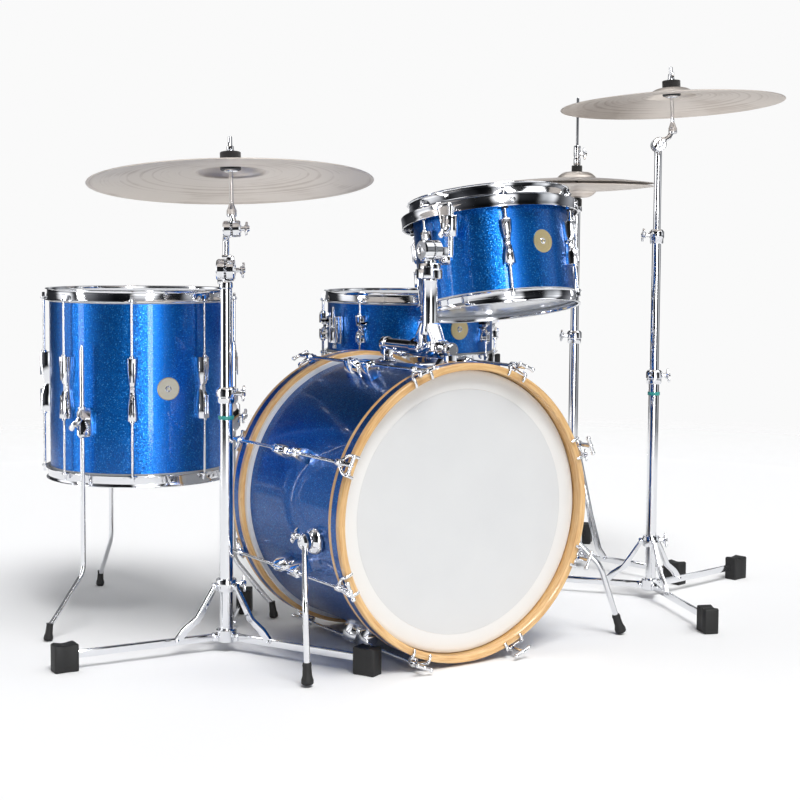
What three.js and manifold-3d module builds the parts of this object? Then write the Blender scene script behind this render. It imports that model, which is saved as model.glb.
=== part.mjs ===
// Acoustic drum kit: bass drum, rack tom, floor tom, snare, ride, crash and hi-hats on their own stands.
// Millimetres, +Z up. The layout below puts the bass drum's axis on Y, with its front head facing -Y.
import * as THREE from 'three';
import { mergeVertices } from 'three/addons/utils/BufferGeometryUtils.js';
import Module from 'manifold-3d';

const wasm = await Module();
wasm.setup();

// ---------------------------------------------------------------- clearances
const FIT = 0.3;            // gap between two pieces that touch
const SLIDE = 0.3;          // radial gap of a tube or rod sliding in its sleeve
const PIVOT = 0.5;          // gap between the two halves of a hinge
const HOLE = 1.0;           // radial gap of a cymbal hole round its stem

// ---------------------------------------------------------------- driving sizes
const ROUND = 24;           // sides of drums and cymbals
const PIPE = 8;             // sides of tubes
const SMALL = 6;            // sides of rods and bolts
const THIN = 4;             // sides of tension rods

const BASS = { radius: 254, depth: 356, wall: 7, x: 0, y: 0, z: 276, lugs: 8, lugPhase: 22.5 };
const BASS_HOOP = { outer: 270, width: 38, overhang: 22 };
const FLOOR = { radius: 178, depth: 354, wall: 6, x: -330, y: 489, z: 474, lugs: 8, lugPhase: 16.9 };
const HEAD = { film: 1, skirt: 2.6, drop: 14 };
const HOOP = { wall: 2.2, rise: 11, lip: 3, drop: 12, ear: 5 };
const ROD = { radius: 3, out: 12.5 };
const LUG = { width: 24, waist: 15, out: 19 };
const LUG_LENGTH = { tom: 84, floor: 120, snare: 56 };

const SPUR = { radius: 5.5, discRadius: 24, discOut: 15, y: -92, z: 234, tipRadius: 11, tipLength: 42 };
const SPUR_LEFT = { kneeX: -316, kneeY: -166, kneeZ: 140, footX: -314, footY: -171 };
const SPUR_RIGHT = { kneeX: 346, kneeY: -155, kneeZ: 137, footX: 392, footY: -168 };

const RAIL = { radius: 11, front: -145, rear: 86, z: 565, standoff: 20 };
const POST = { y: -70, radius: 11, sleeve: 14, sleeveTop: 693, collar: 26, collarTop: 723, pivotZ: 745 };
const ARM = { radius: 6, x: 61, y: -48, elbowZ: 719, top: 826 };

// the rack tom hangs beside the upright end of the arm, `away` from it in the direction `bearing`
const TOM_RADIUS = 152;
const TOM_HANG = { away: 31.41, bearing: 27.962 };
const TOM = {
  radius: TOM_RADIUS, depth: 202, wall: 6, tilt: 10.6, lugs: 6, lugPhase: 3.6,
  x: ARM.x + (TOM_RADIUS + TOM_HANG.away) * Math.cos(TOM_HANG.bearing * Math.PI / 180),
  y: ARM.y + (TOM_RADIUS + TOM_HANG.away) * Math.sin(TOM_HANG.bearing * Math.PI / 180),
  z: 735.5,
};
const RING = { inner: TOM.radius + 19, thick: 3.5, height: 22, level: 76, bracketAngle: 205 };

// the snare drum stands behind whichever reaches further back, the bass drum's hoop or the rack tom
const SNARE_RADIUS = 178;
const SNARE_GAP = { bass: 27, tom: 15 };
const SNARE = {
  radius: SNARE_RADIUS, depth: 127, wall: 6, lugs: 8, lugPhase: 23.6, x: 255, z: 580,
  y: SNARE_RADIUS + Math.max(BASS.depth / 2 + SNARE_GAP.bass, TOM.y + TOM.radius + SNARE_GAP.tom),
};

const LEG = { radius: 5, out: 18, top: 560, kneeZ: 120, tipRadius: 9, tipLength: 34, reach: 280 };
const FLOOR_LEG_ANGLES = [212.5, 84.7, 317.9];
const FLOOR_FOOT_ANGLES = [207.8, 84.7, 317.9];
const LEG_BRACKET = { low: 380, high: 438, width: 30 };

const TRIPOD = {
  barHeight: 14, barThick: 6, barZ: 28, footLength: 44, footWidth: 30, footHeight: 50, strutReach: 98,
};
const RIDE = {
  x: -321, y: 121, reach: 308, firstLeg: 176.3, tube: 12.5, rodTube: 11, rod: 6,
  joinZ: 480, clampZ: 706, rodTop: 764,
};
const RIDE_TILT = {
  x: -327, y: 85, z: 780.5, leanX: 0.037, leanY: 0.12, hinge: -33, aside: 0, asideAngle: 0, drop: 84,
};
const CRASH = {
  x: 657, y: 46, reach: 308, firstLeg: 9.3, tube: 11, midTube: 9.5, topTube: 8,
  joinZ: 480, midJoinZ: 778, rodTop: 944,
};
const CRASH_TILT = {
  x: 657, y: 46, z: 968, leanX: -0.014, leanY: 0.059, hinge: 237, aside: 31, asideAngle: -33, drop: 82,
};
const HAT = {
  x: 735, y: 410, reach: 290, firstLeg: 283.6, tube: 11, topTube: 9.5, joinZ: 544, seatZ: 846, gap: 8,
};
const PEDAL = { angle: 103.6, heel: 290, width: 84, toeZ: 74, heelZ: 22, thick: 6 };
const SNARE_STAND = { reach: 230, firstLeg: 60, tube: 11, post: 9, joinZ: 300, hubZ: 448 };
const BASKET_ANGLES = [194.5, 314.5, 74.5];

const RIDE_CYMBAL = { radius: 258, height: 40, bell: 64, bellRise: 20, thick: 1.6 };
const CRASH_CYMBAL = { radius: 234, height: 36, bell: 52, bellRise: 17, thick: 1.4 };
const HAT_CYMBAL = { radius: 178, height: 26, bell: 46, bellRise: 15, thick: 1.4 };
const STEM = { radius: 4, felt: 19, feltHeight: 15, sleeve: 7 };

// ---------------------------------------------------------------- finishes
const finish = (color, roughness, metalness) => new THREE.MeshStandardMaterial({ color, roughness, metalness });
const BLUE_SPARKLE = finish(0x0b5cad, 0.3, 0.4);
const CHROME = finish(0xd4d6da, 0.12, 1);
const MAPLE = finish(0xe6b878, 0.4, 0);
const COATED = finish(0xececea, 0.6, 0);
const CLEAR_FILM = finish(0xd9dde0, 0.25, 0);
const BRONZE = finish(0xc9bdb2, 0.3, 1);
const STEEL = finish(0xb4b7bb, 0.3, 1);

// ---------------------------------------------------------------- solids
const radians = THREE.MathUtils.degToRad;
const vec = (x, y, z) => new THREE.Vector3(x, y, z);

function polar(radius, degrees, z = 0) {
  return vec(radius * Math.cos(radians(degrees)), radius * Math.sin(radians(degrees)), z);
}

// turns a three.js geometry into a manifold solid, with its faces outward
function solidOf(geometry) {
  const bare = geometry.clone();
  bare.deleteAttribute('normal');
  bare.deleteAttribute('uv');
  const merged = mergeVertices(bare, 1e-4);
  const points = merged.attributes.position.array;
  const corner = (i) => vec(points[3 * i], points[3 * i + 1], points[3 * i + 2]);
  const index = [];
  let volume = 0;
  for (let i = 0; i < merged.index.count; i += 3) {
    const [a, b, c] = [0, 1, 2].map((k) => merged.index.getX(i + k));
    if (a === b || b === c || c === a) continue;
    index.push(a, b, c);
    volume += corner(a).dot(corner(b).cross(corner(c)));
  }
  if (volume < 0) index.reverse();
  return new wasm.Manifold(new wasm.Mesh({
    numProp: 3,
    vertProperties: new Float32Array(points),
    triVerts: new Uint32Array(index),
  }));
}

const join = (...geometries) => geometries.flat().map(solidOf).reduce((whole, piece) => whole.add(piece));

function cut(whole, ...geometries) {
  return geometries.flat().map(solidOf).reduce((left, piece) => left.subtract(piece), whole);
}

function meshOf(name, shape, material) {
  const { vertProperties, triVerts } = (shape.isBufferGeometry ? solidOf(shape) : shape).getMesh();
  const indexed = new THREE.BufferGeometry();
  indexed.setAttribute('position', new THREE.BufferAttribute(new Float32Array(vertProperties), 3));
  indexed.setIndex([...triVerts]);
  const geometry = indexed.toNonIndexed();
  geometry.computeVertexNormals();
  const mesh = new THREE.Mesh(geometry, material);
  mesh.name = name;
  return mesh;
}

// a profile of [radius, height] pairs turned about Z
function lathe(profile, sides = ROUND) {
  const points = profile.map(([radius, height]) => new THREE.Vector2(radius, height));
  if (profile[0][0] > 0 || profile.at(-1)[0] > 0) points.push(points[0].clone());
  return new THREE.LatheGeometry(points, sides).rotateX(Math.PI / 2);
}

const ring = (inner, outer, low, high, sides) => (
  lathe([[inner, low], [outer, low], [outer, high], [inner, high]], sides));
const disc = (radius, low, high, sides) => (
  lathe([[0, low], [radius, low], [radius, high], [0, high]], sides));
const box = (x0, x1, y0, y1, z0, z1) => new THREE.BoxGeometry(x1 - x0, y1 - y0, z1 - z0)
  .translate((x0 + x1) / 2, (y0 + y1) / 2, (z0 + z1) / 2);
const turned = (geometry, degrees) => geometry.rotateZ(radians(degrees));

function sheet(outline, depth) {
  const shape = new THREE.Shape(outline.map(([across, up]) => new THREE.Vector2(across, up)));
  return new THREE.ExtrudeGeometry(shape, { depth, bevelEnabled: false });
}

// an outline of [across, up] pairs made into a plate that is thick along X
function plateX(outline, low, high) {
  const upright = new THREE.Matrix4().makeBasis(vec(0, 1, 0), vec(0, 0, 1), vec(1, 0, 0));
  return sheet(outline, high - low).applyMatrix4(upright).translate(low, 0, 0);
}

// an outline of [outward, up] pairs made into a plate that is thick along Y
function plateY(outline, low, high) {
  return sheet(outline, high - low).rotateX(Math.PI / 2).translate(0, high, 0);
}

function rod(from, to, radius, sides = SMALL) {
  const along = to.clone().sub(from);
  const turn = new THREE.Quaternion().setFromUnitVectors(vec(0, 1, 0), along.clone().normalize());
  return new THREE.CylinderGeometry(radius, radius, along.length(), sides)
    .applyQuaternion(turn).translate(...from.clone().add(to).multiplyScalar(0.5).toArray());
}

// straight rods through a list of points, with a ball in each bend
function bentRod(points, radius, sides = SMALL) {
  const runs = points.slice(1).map((point, i) => rod(points[i], point, radius, sides));
  const ball = (point) => new THREE.SphereGeometry(radius * 1.04, sides, 4).translate(...point.toArray());
  const bends = points.slice(1, -1).map(ball);
  return [...runs, ...bends];
}

// a bolt with two wings, standing out along `degrees` from a clamp whose surface is at `out`
function wingBolt(x, y, z, degrees, out, length = 20) {
  const shank = rod(vec(out - 4, 0, 0), vec(out + length, 0, 0), 4);
  const wings = plateX([[-17, 10], [17, 10], [5, -5], [-5, -5]], out + length - 6, out + length - 1);
  return [shank, wings].map((piece) => turned(piece, degrees).translate(x, y, z));
}

const around = (count, phase) => Array.from({ length: count }, (_, i) => phase + (360 / count) * i);

function group(children, { x = 0, y = 0, z = 0, rx = 0, ry = 0, rz = 0 } = {}) {
  const node = new THREE.Group();
  node.position.set(x, y, z);
  node.rotation.set(radians(rx), radians(ry), radians(rz));
  node.add(...children);
  return node;
}

// ---------------------------------------------------------------- drums with metal hoops
// the head is a film with a skirt over the bearing edge; `side` is +1 for the top and -1 for the bottom
function drumHead(name, drum, side, material) {
  const top = drum.depth / 2 + HEAD.film + FIT;
  const inside = drum.radius + FIT;
  const outside = inside + HEAD.skirt;
  const profile = [[0, top], [outside, top], [outside, top - HEAD.drop], [inside, top - HEAD.drop],
    [inside, top - HEAD.film], [0, top - HEAD.film]].map(([radius, height]) => [radius, side * height]);
  return meshOf(name, lathe(profile), material);
}

function metalHoop(name, drum, lugLength, side) {
  const seat = drum.depth / 2 + HEAD.film + 2 * FIT;
  const inside = drum.radius + HEAD.skirt + 2 * FIT;
  const outside = inside + HOOP.wall;
  const low = seat - HOOP.drop;
  const rim = seat + HOOP.rise;
  const profile = [[inside, low], [outside, low], [outside, rim - 3], [outside + HOOP.lip, rim], [inside - 1.5, rim],
    [inside - 1.5, seat], [inside, seat]].map(([radius, height]) => [radius, side * height]);
  const rodRadius = drum.radius + ROD.out;
  const pieces = around(drum.lugs, drum.lugPhase).flatMap((degrees) => {
    const earLow = side > 0 ? low : -low - HOOP.ear;
    const ear = box(inside + 0.2, rodRadius + 5, -7, 7, earLow, earLow + HOOP.ear);
    const head = polar(rodRadius, degrees, side * (low + 2 * HOOP.ear));
    const end = polar(rodRadius, degrees, side * (lugLength / 2 + FIT));
    return [turned(ear, degrees), rod(head, end, ROD.radius, THIN)];
  });
  return meshOf(name, join(lathe(profile), pieces), CHROME);
}

// a double-ended lug, narrow in the middle, whose foot is sunk into the shell wall
function lug(drum, length, degrees) {
  const [half, wide, waist] = [length / 2, LUG.width / 2, LUG.waist / 2];
  const outline = [[-wide, -half], [wide, -half], [waist, 0], [wide, half], [-wide, half], [-waist, 0]];
  return turned(plateX(outline, drum.radius - 3, drum.radius + LUG.out), degrees);
}

function drumShell(drum, lugLength, extras = []) {
  const wall = ring(drum.radius - drum.wall, drum.radius, -drum.depth / 2, drum.depth / 2);
  const lugs = around(drum.lugs, drum.lugPhase).map((degrees) => lug(drum, lugLength, degrees));
  return join(wall, lugs, extras);
}

const metalDrum = (prefix, drum, lugLength, shell = drumShell(drum, lugLength)) => [
  meshOf(`${prefix}_shell`, shell, BLUE_SPARKLE),
  drumHead(`${prefix}_batter_head`, drum, 1, COATED),
  drumHead(`${prefix}_resonant_head`, drum, -1, CLEAR_FILM),
  metalHoop(`${prefix}_top_hoop`, drum, lugLength, 1),
  metalHoop(`${prefix}_bottom_hoop`, drum, lugLength, -1),
];

// ---------------------------------------------------------------- bass drum, built about Z and laid on its side
function bassHead(name, side) {
  const top = BASS.depth / 2 + HEAD.film + FIT;
  const inside = BASS.radius + FIT;
  const hoopEdge = BASS.depth / 2 + BASS_HOOP.overhang - BASS_HOOP.width;
  const profile = [[0, top], [inside + 2, top], [inside + 2, hoopEdge - FIT], [inside + 8, hoopEdge - FIT],
    [inside + 8, hoopEdge - 9], [inside, hoopEdge - 9], [inside, top - HEAD.film], [0, top - HEAD.film]]
    .map(([radius, height]) => [radius, side * height]);
  return meshOf(name, lathe(profile), COATED);
}

// a wooden hoop with its claws, each hooked over the hoop's edge in two places and drawn in by a T-rod
function bassHoop(name, side) {
  const front = BASS.depth / 2 + BASS_HOOP.overhang;
  const inner = BASS.radius + 2 * FIT + 2.4;
  const { outer, width } = BASS_HOOP;
  const pieces = around(BASS.lugs, BASS.lugPhase).flatMap((degrees) => {
    const hook = plateY([[inner - 4, front - 1], [outer - 1, front - 1], [outer - 1, front - 28], [outer + 17, front - 28],
      [outer + 17, front - 16], [outer + 4, front - 12], [outer + 4, front + 3], [inner - 4, front + 3]], -20, 20);
    const bolt = rod(vec(outer + 12, 0, 42 + FIT), vec(outer + 12, 0, front + 24), 3.2, THIN);
    const handle = rod(vec(outer + 12, -18, front + 24), vec(outer + 12, 18, front + 24), 3.5, THIN);
    return [hook, bolt, handle].map((piece) => turned(side > 0 ? piece : piece.rotateX(Math.PI), degrees));
  });
  const band = ring(inner, outer, side > 0 ? front - width : -front, side > 0 ? front : width - front);
  return meshOf(name, join(band, pieces), MAPLE);
}

function bassShell() {
  const lugs = around(BASS.lugs, BASS.lugPhase).map((degrees) => {
    const outline = [[-13, -42], [13, -42], [8, 0], [13, 42], [-13, 42], [-8, 0]];
    return turned(plateX(outline, BASS.radius - 3, BASS.radius + 37), degrees);
  });
  // laid down, the drum's own +X and +Y become X and Z, and its +Z becomes -Y
  const discHeight = SPUR.z - BASS.z;
  const discs = [-1, 1].map((side) => rod(
    vec(side * (BASS.radius - 16), discHeight, -SPUR.y),
    vec(side * (BASS.radius + SPUR.discOut), discHeight, -SPUR.y), SPUR.discRadius, 16));
  const bore = disc(BASS.radius - BASS.wall, -SPUR.y - 40, -SPUR.y + 40);
  const wall = ring(BASS.radius - BASS.wall, BASS.radius, -BASS.depth / 2, BASS.depth / 2);
  return cut(join(wall, lugs, discs), bore);
}

const bassDrum = group([
  meshOf('bass_shell', bassShell(), BLUE_SPARKLE),
  bassHead('bass_front_head', 1),
  bassHead('bass_batter_head', -1),
  bassHoop('bass_front_hoop', 1),
  bassHoop('bass_rear_hoop', -1),
], { x: BASS.x, y: BASS.y, z: BASS.z, rx: 90 });

function spur(name, side, { kneeX, kneeY, kneeZ, footX, footY }) {
  const face = BASS.x + side * (BASS.radius + SPUR.discOut + PIVOT);
  const pivot = vec(face, SPUR.y, SPUR.z);
  const hub = rod(pivot, vec(face + side * 14, SPUR.y, SPUR.z), 17, PIPE);
  const start = vec(face + side * 8, SPUR.y - 4, SPUR.z - 4);
  const knee = vec(kneeX, kneeY, kneeZ);
  const foot = vec(footX, footY, 0);
  const shin = knee.clone().sub(foot).normalize();
  const ankle = foot.clone().addScaledVector(shin, SPUR.tipLength);
  const tip = rod(foot.clone().addScaledVector(shin, 4), ankle, SPUR.tipRadius);
  const level = box(footX - 20, footX + 20, footY - 20, footY + 20, -20, 0);
  return meshOf(name, cut(join(hub, bentRod([start, knee, ankle], SPUR.radius), tip), level), CHROME);
}

// ---------------------------------------------------------------- rack tom and its holder
const tomRail = meshOf('tom_rail', join(
  rod(vec(0, RAIL.front, RAIL.z), vec(0, RAIL.rear, RAIL.z), RAIL.radius, PIPE),
  [RAIL.front + 9, RAIL.rear - 9].map((y) => (
    box(-RAIL.standoff / 2, RAIL.standoff / 2, y - 8, y + 8, BASS.z + BASS.radius + FIT, RAIL.z))),
), CHROME);

function postClamp() {
  const flare = [[-48, -15], [48, -15], [48, 8], [17, 48], [-17, 48], [-48, 8]]
    .map(([across, up]) => [POST.y + across, RAIL.z + up]);
  const sleeve = disc(POST.sleeve, RAIL.z + 30, POST.sleeveTop, 16).translate(0, POST.y, 0);
  const collar = disc(POST.collar, POST.sleeveTop - 1, POST.collarTop, 16).translate(0, POST.y, 0);
  const handle = rod(vec(0, POST.y - 34, RAIL.z + 2), vec(-38, POST.y - 34, RAIL.z + 2), 5);
  const grip = rod(vec(-36, POST.y - 54, RAIL.z + 8), vec(-36, POST.y - 14, RAIL.z - 4), 5);
  const railHole = rod(vec(0, RAIL.front - 9, RAIL.z), vec(0, RAIL.rear + 9, RAIL.z), RAIL.radius + SLIDE, PIPE);
  const postHole = disc(POST.radius + SLIDE, RAIL.z + 40, POST.collarTop + 9, PIPE).translate(0, POST.y, 0);
  return cut(join(plateX(flare, -15, 15), sleeve, collar, handle, grip), railHole, postHole);
}

// the post and the arm each carry half of the ratchet, which turns about X at the post's top
const tomPost = meshOf('tom_post', join(
  disc(POST.radius, RAIL.z + 42, POST.collarTop + 2.5, PIPE).translate(0, POST.y, 0),
  box(-18, -PIVOT / 2, POST.y - 9, POST.y + 9, POST.collarTop + 0.5, POST.pivotZ),
  rod(vec(-22, POST.y, POST.pivotZ), vec(-PIVOT / 2, POST.y, POST.pivotZ), 19, 16),
), CHROME);

const tomArm = meshOf('tom_arm', join(
  rod(vec(PIVOT / 2, POST.y, POST.pivotZ), vec(22, POST.y, POST.pivotZ), 19, 16),
  box(14, 36, POST.y - 10, POST.y + 14, POST.pivotZ - 15, POST.pivotZ + 6),
  bentRod([vec(30, POST.y + 6, ARM.elbowZ + 8), vec(ARM.x, ARM.y, ARM.elbowZ + 8), vec(ARM.x, ARM.y, ARM.top)], ARM.radius),
), CHROME);

// local frame of the tilted drum, and where a point of it lies in the layout
const tomFrame = new THREE.Matrix4().makeRotationX(radians(-TOM.tilt)).setPosition(TOM.x, TOM.y, TOM.z);

function suspensionRing() {
  const { inner, thick, height, level } = RING;
  const band = ring(inner, inner + thick, level - height / 2, level + height / 2);
  const rodRadius = TOM.radius + ROD.out;
  const held = around(TOM.lugs, TOM.lugPhase).filter((degrees) => Math.abs(degrees - RING.bracketAngle) > 30);
  const edge = level - height / 2;
  const tabs = held.map((degrees) => turned(box(rodRadius - 7, inner + 1, -9, 9, edge, edge + 5), degrees));
  const holes = held.map((degrees) => (
    rod(polar(rodRadius, degrees, level - height), polar(rodRadius, degrees, level), ROD.radius + 0.5)));
  const hanger = turned(box(inner - 1, inner + 8, -17, 17, 30, level + 6), RING.bracketAngle);
  const tilted = cut(join(band, tabs, hanger), holes).transform(tomFrame.elements);
  const clamp = box(ARM.x - 12, ARM.x + 14, ARM.y - 12, ARM.y + 24, 768, 812);
  // wide enough for the six-sided rod to turn in it
  const boreRadius = (ARM.radius + SLIDE) / Math.cos(Math.PI / SMALL);
  const bore = rod(vec(ARM.x, ARM.y, 700), vec(ARM.x, ARM.y, 860), boreRadius);
  return cut(tilted.add(join(clamp, wingBolt(ARM.x, ARM.y, 780, 200, 11, 16))), bore);
}

const tomHolder = [
  tomRail,
  meshOf('tom_post_clamp', postClamp(), CHROME),
  tomPost,
  tomArm,
  meshOf('tom_suspension_ring', suspensionRing(), CHROME),
];

const rackTom = group(metalDrum('tom', TOM, LUG_LENGTH.tom), { x: TOM.x, y: TOM.y, z: TOM.z, rx: -TOM.tilt });

// ---------------------------------------------------------------- floor tom
const legAxis = FLOOR.radius + LEG.out;
const legBrackets = FLOOR_LEG_ANGLES.flatMap((degrees) => {
  const [low, high] = [LEG_BRACKET.low - FLOOR.z, LEG_BRACKET.high - FLOOR.z];
  const half = LEG_BRACKET.width / 2;
  return [
    turned(box(FLOOR.radius - 3, legAxis + 13, -half, half, low, high), degrees),
    ...wingBolt(0, 0, (low + high) / 2, degrees, legAxis + 12, 16),
  ];
});

function floorTomShell() {
  const whole = drumShell(FLOOR, LUG_LENGTH.floor, legBrackets);
  const bores = FLOOR_LEG_ANGLES.map((degrees) => (
    rod(polar(legAxis, degrees, -200), polar(legAxis, degrees, 200), LEG.radius + SLIDE)));
  return cut(whole, bores, disc(FLOOR.radius - FLOOR.wall, -120, 0));
}

function floorTomLeg(index) {
  const axis = polar(legAxis, FLOOR_LEG_ANGLES[index]).add(vec(FLOOR.x, FLOOR.y, 0));
  const foot = polar(LEG.reach, FLOOR_FOOT_ANGLES[index]).add(vec(FLOOR.x, FLOOR.y, 0));
  const at = (point, z) => vec(point.x, point.y, z);
  const ankle = at(foot.clone().lerp(axis, 0.25), LEG.tipLength + 12);
  const tip = rod(at(foot, 0), at(foot.clone().lerp(axis, 0.06), LEG.tipLength), LEG.tipRadius);
  const insideTip = at(foot.clone().lerp(axis, 0.05), LEG.tipLength - 8);
  const path = [at(axis, LEG.top), at(axis, LEG.kneeZ), ankle, insideTip];
  const floor = box(foot.x - 30, foot.x + 30, foot.y - 30, foot.y + 30, -30, 0);
  return meshOf(`floor_tom_leg_${index + 1}`, cut(join(bentRod(path, LEG.radius), tip), floor), CHROME);
}

const floorTom = group(
  metalDrum('floor_tom', FLOOR, LUG_LENGTH.floor, floorTomShell()),
  { x: FLOOR.x, y: FLOOR.y, z: FLOOR.z },
);

// ---------------------------------------------------------------- snare drum
// strainer and butt stand on the shell between lugs, with the wires drawn across the bottom head
const STRAINER = { angle: 181, width: 30, low: -34, high: 24, out: 20 };
const WIRES = { width: 42, thick: 1.6, reach: 150 };

function strainerBody() {
  const { width, low, high, out } = STRAINER;
  const back = box(SNARE.radius + FIT, SNARE.radius + out, -width / 2, width / 2, low, high);
  const slot = box(SNARE.radius + 10, SNARE.radius + out + 1, -6 - PIVOT, 6 + PIVOT, -6, high + 1);
  return meshOf('snare_strainer', cut(join(back), slot), CHROME);
}

function strainerLever() {
  const arm = box(SNARE.radius + 12, SNARE.radius + 18, -6, 6, 0, 44);
  const eye = rod(vec(SNARE.radius + 15, -6, 2), vec(SNARE.radius + 15, 6, 2), 4);
  return meshOf('snare_strainer_lever', join(arm, eye), CHROME);
}

const buttPlate = meshOf('snare_butt_plate', join(
  box(SNARE.radius + FIT, SNARE.radius + 16, -15, 15, -34, -8)), CHROME);

const wireLevel = -SNARE.depth / 2 - HEAD.film - 2 * FIT - WIRES.thick;
const snareWires = meshOf('snare_wires', join(
  box(-WIRES.reach, WIRES.reach, -WIRES.width / 2, WIRES.width / 2, wireLevel, wireLevel + WIRES.thick)), STEEL);

const snareDrum = group([
  ...metalDrum('snare', SNARE, LUG_LENGTH.snare),
  group([strainerBody(), strainerLever()], { rz: STRAINER.angle }),
  group([buttPlate], { rz: STRAINER.angle - 180 }),
  group([snareWires], { rz: STRAINER.angle }),
], { x: SNARE.x, y: SNARE.y, z: SNARE.z });

// ---------------------------------------------------------------- stands
// three flat bars on the floor with rubber feet, each stayed by a curved strut from a collar on the tube
function tripodLegs({ reach, firstLeg, tube }, strutZ, hubRadius = 19) {
  const { barHeight, barThick, barZ, footLength, footWidth, footHeight, strutReach } = TRIPOD;
  const strut = [[tube + 2, strutZ + 5], [tube + 12, strutZ + 2], [strutReach * 0.62, barZ + (strutZ - barZ) * 0.42],
    [strutReach + 6, barZ + 3], [strutReach - 6, barZ - 4], [strutReach * 0.5, barZ + (strutZ - barZ) * 0.36],
    [tube + 8, strutZ - 10], [tube + 2, strutZ - 8]];
  return around(3, firstLeg).flatMap((degrees) => [
    box(hubRadius - 8, reach - 8, -barThick / 2, barThick / 2, barZ - barHeight / 2, barZ + barHeight / 2),
    box(reach - footLength / 2, reach + footLength / 2, -footWidth / 2, footWidth / 2, 0, footHeight),
    plateY(strut, -2.5, 2.5),
  ].map((piece) => turned(piece, degrees)));
}

function standBase(name, stand, { top, innerRadius, strutZ, boltAngle }) {
  const { tube } = stand;
  const pieces = [
    disc(tube, 18, top, PIPE), disc(19, 18, 42, PIPE), disc(tube + 7, strutZ - 12, strutZ + 10, PIPE),
    disc(tube + 6, top - 6, top + 24, PIPE),
    ...wingBolt(0, 0, strutZ, boltAngle, tube + 6), ...wingBolt(0, 0, top + 12, boltAngle, tube + 5),
    ...tripodLegs(stand, strutZ),
  ];
  return meshOf(name, cut(join(pieces), disc(innerRadius + SLIDE, 60, top + 30, PIPE)), CHROME);
}

// the upper end of a sliding tube, drawn in and clamped round the next one
function slidingTube(radius, low, top, innerRadius, boltAngle) {
  const collar = disc(radius + 6, top - 6, top + 24, PIPE);
  const tube = join(disc(radius, low, top, PIPE), collar, wingBolt(0, 0, top + 12, boltAngle, radius + 5));
  return cut(tube, disc(innerRadius + SLIDE, low - 1, top + 30, PIPE));
}

// ---------------------------------------------------------------- cymbals
// a thin bowed plate with a bell, rim at height 0, turned about Z
function cymbal(name, { radius, height, bell, bellRise, thick }, side = 1) {
  const bow = height - bellRise;
  const hole = STEM.radius + HOLE;
  const middle = (bell + radius) / 2;
  const upper = [[hole, height], [STEM.felt + 1, height], [bell, bow], [middle, bow * 0.66], [radius, 0]];
  const lower = upper.map(([r, z]) => [r, z - thick]).reverse();
  return meshOf(name, lathe([...upper, ...lower].map(([r, z]) => [r, side * z])), BRONZE);
}

// everything on the stem but the cymbal, in the cymbal's own frame, with the bell's top at `height`
function stemParts({ height, thick }, drop) {
  const below = height - thick - FIT;
  return join(
    disc(STEM.radius, -drop, height + 44, SMALL),
    disc(STEM.felt, below - STEM.feltHeight, below, PIPE),
    disc(STEM.sleeve + 6, below - STEM.feltHeight - 4, below - STEM.feltHeight + 1, PIPE),
  );
}

function wingNut(name, { height }) {
  const base = height + FIT;
  const top = base + STEM.feltHeight;
  const nut = join(disc(STEM.felt, base, top, PIPE), disc(9, top - 1, top + 11, PIPE),
    plateX([[-20, top + 18], [20, top + 18], [7, top + 2], [-7, top + 2]], -2.5, 2.5));
  return meshOf(name, cut(nut, disc(STEM.radius + SLIDE, base - 1, top + 60, SMALL)), CHROME);
}

// the frame of a leaning stem: its origin is the tilter's pivot and its Z runs up the stem
function leaningFrame({ x, y, z, leanX, leanY }) {
  const turn = new THREE.Quaternion().setFromUnitVectors(vec(0, 0, 1), vec(leanX, leanY, 1).normalize());
  return new THREE.Matrix4().compose(vec(x, y, z), turn, vec(1, 1, 1));
}

// a tilter: two ratchet discs that meet at the pivot, one on the stand and one on the stem
const TILTER = { radius: 15, width: 16, hubLow: 24, hubHigh: 36 };
const ratchetHalf = (degrees, side) => (
  rod(polar(side * TILTER.width, degrees), polar(side * PIVOT / 2, degrees), TILTER.radius, 16));

// the stem, the cymbal and its wing nut, in the leaning frame, `drop` below the rim and `aside` from the pivot
function cymbalOnStem(prefix, tilt, profile) {
  const { hinge, aside, drop } = tilt;
  const foot = polar(aside, tilt.asideAngle);
  const hub = disc(9, TILTER.hubLow, TILTER.hubHigh, PIPE).translate(foot.x, foot.y, 0);
  const arm = rod(polar(9, hinge).setZ(6), foot.clone().setZ(TILTER.hubLow + 3), 4.5);
  const stem = stemParts(profile, drop - TILTER.hubLow - 2).translate([foot.x, foot.y, drop]);
  const carrier = join(ratchetHalf(hinge, 1), arm, hub, wingBolt(0, 0, 0, hinge, TILTER.width, 14)).add(stem);
  const seated = [cymbal(`${prefix}_cymbal`, profile), wingNut(`${prefix}_wing_nut`, profile)];
  seated.forEach((mesh) => mesh.position.set(foot.x, foot.y, drop));
  const node = group([meshOf(`${prefix}_cymbal_stem`, carrier, CHROME), ...seated]);
  node.applyMatrix4(leaningFrame(tilt));
  return node;
}

// the stand's own half of a tilter, linked to the top of its rod
function tilterBase(tilt, rodTop) {
  const frame = leaningFrame(tilt);
  const half = ratchetHalf(tilt.hinge, -1).applyMatrix4(frame);
  const room = rod(vec(0, 0, 0), polar(TILTER.width + 6, tilt.hinge), TILTER.radius + PIVOT, 16);
  const centre = polar(-TILTER.width / 2, tilt.hinge).applyMatrix4(frame);
  const neck = bentRod([rodTop.clone().setZ(rodTop.z - 8), rodTop, centre], 7);
  return cut(join(half, neck), room.applyMatrix4(frame));
}

// ---------------------------------------------------------------- ride stand and cymbal
const rideTop = vec(RIDE.x, RIDE.y, RIDE.rodTop);

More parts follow.
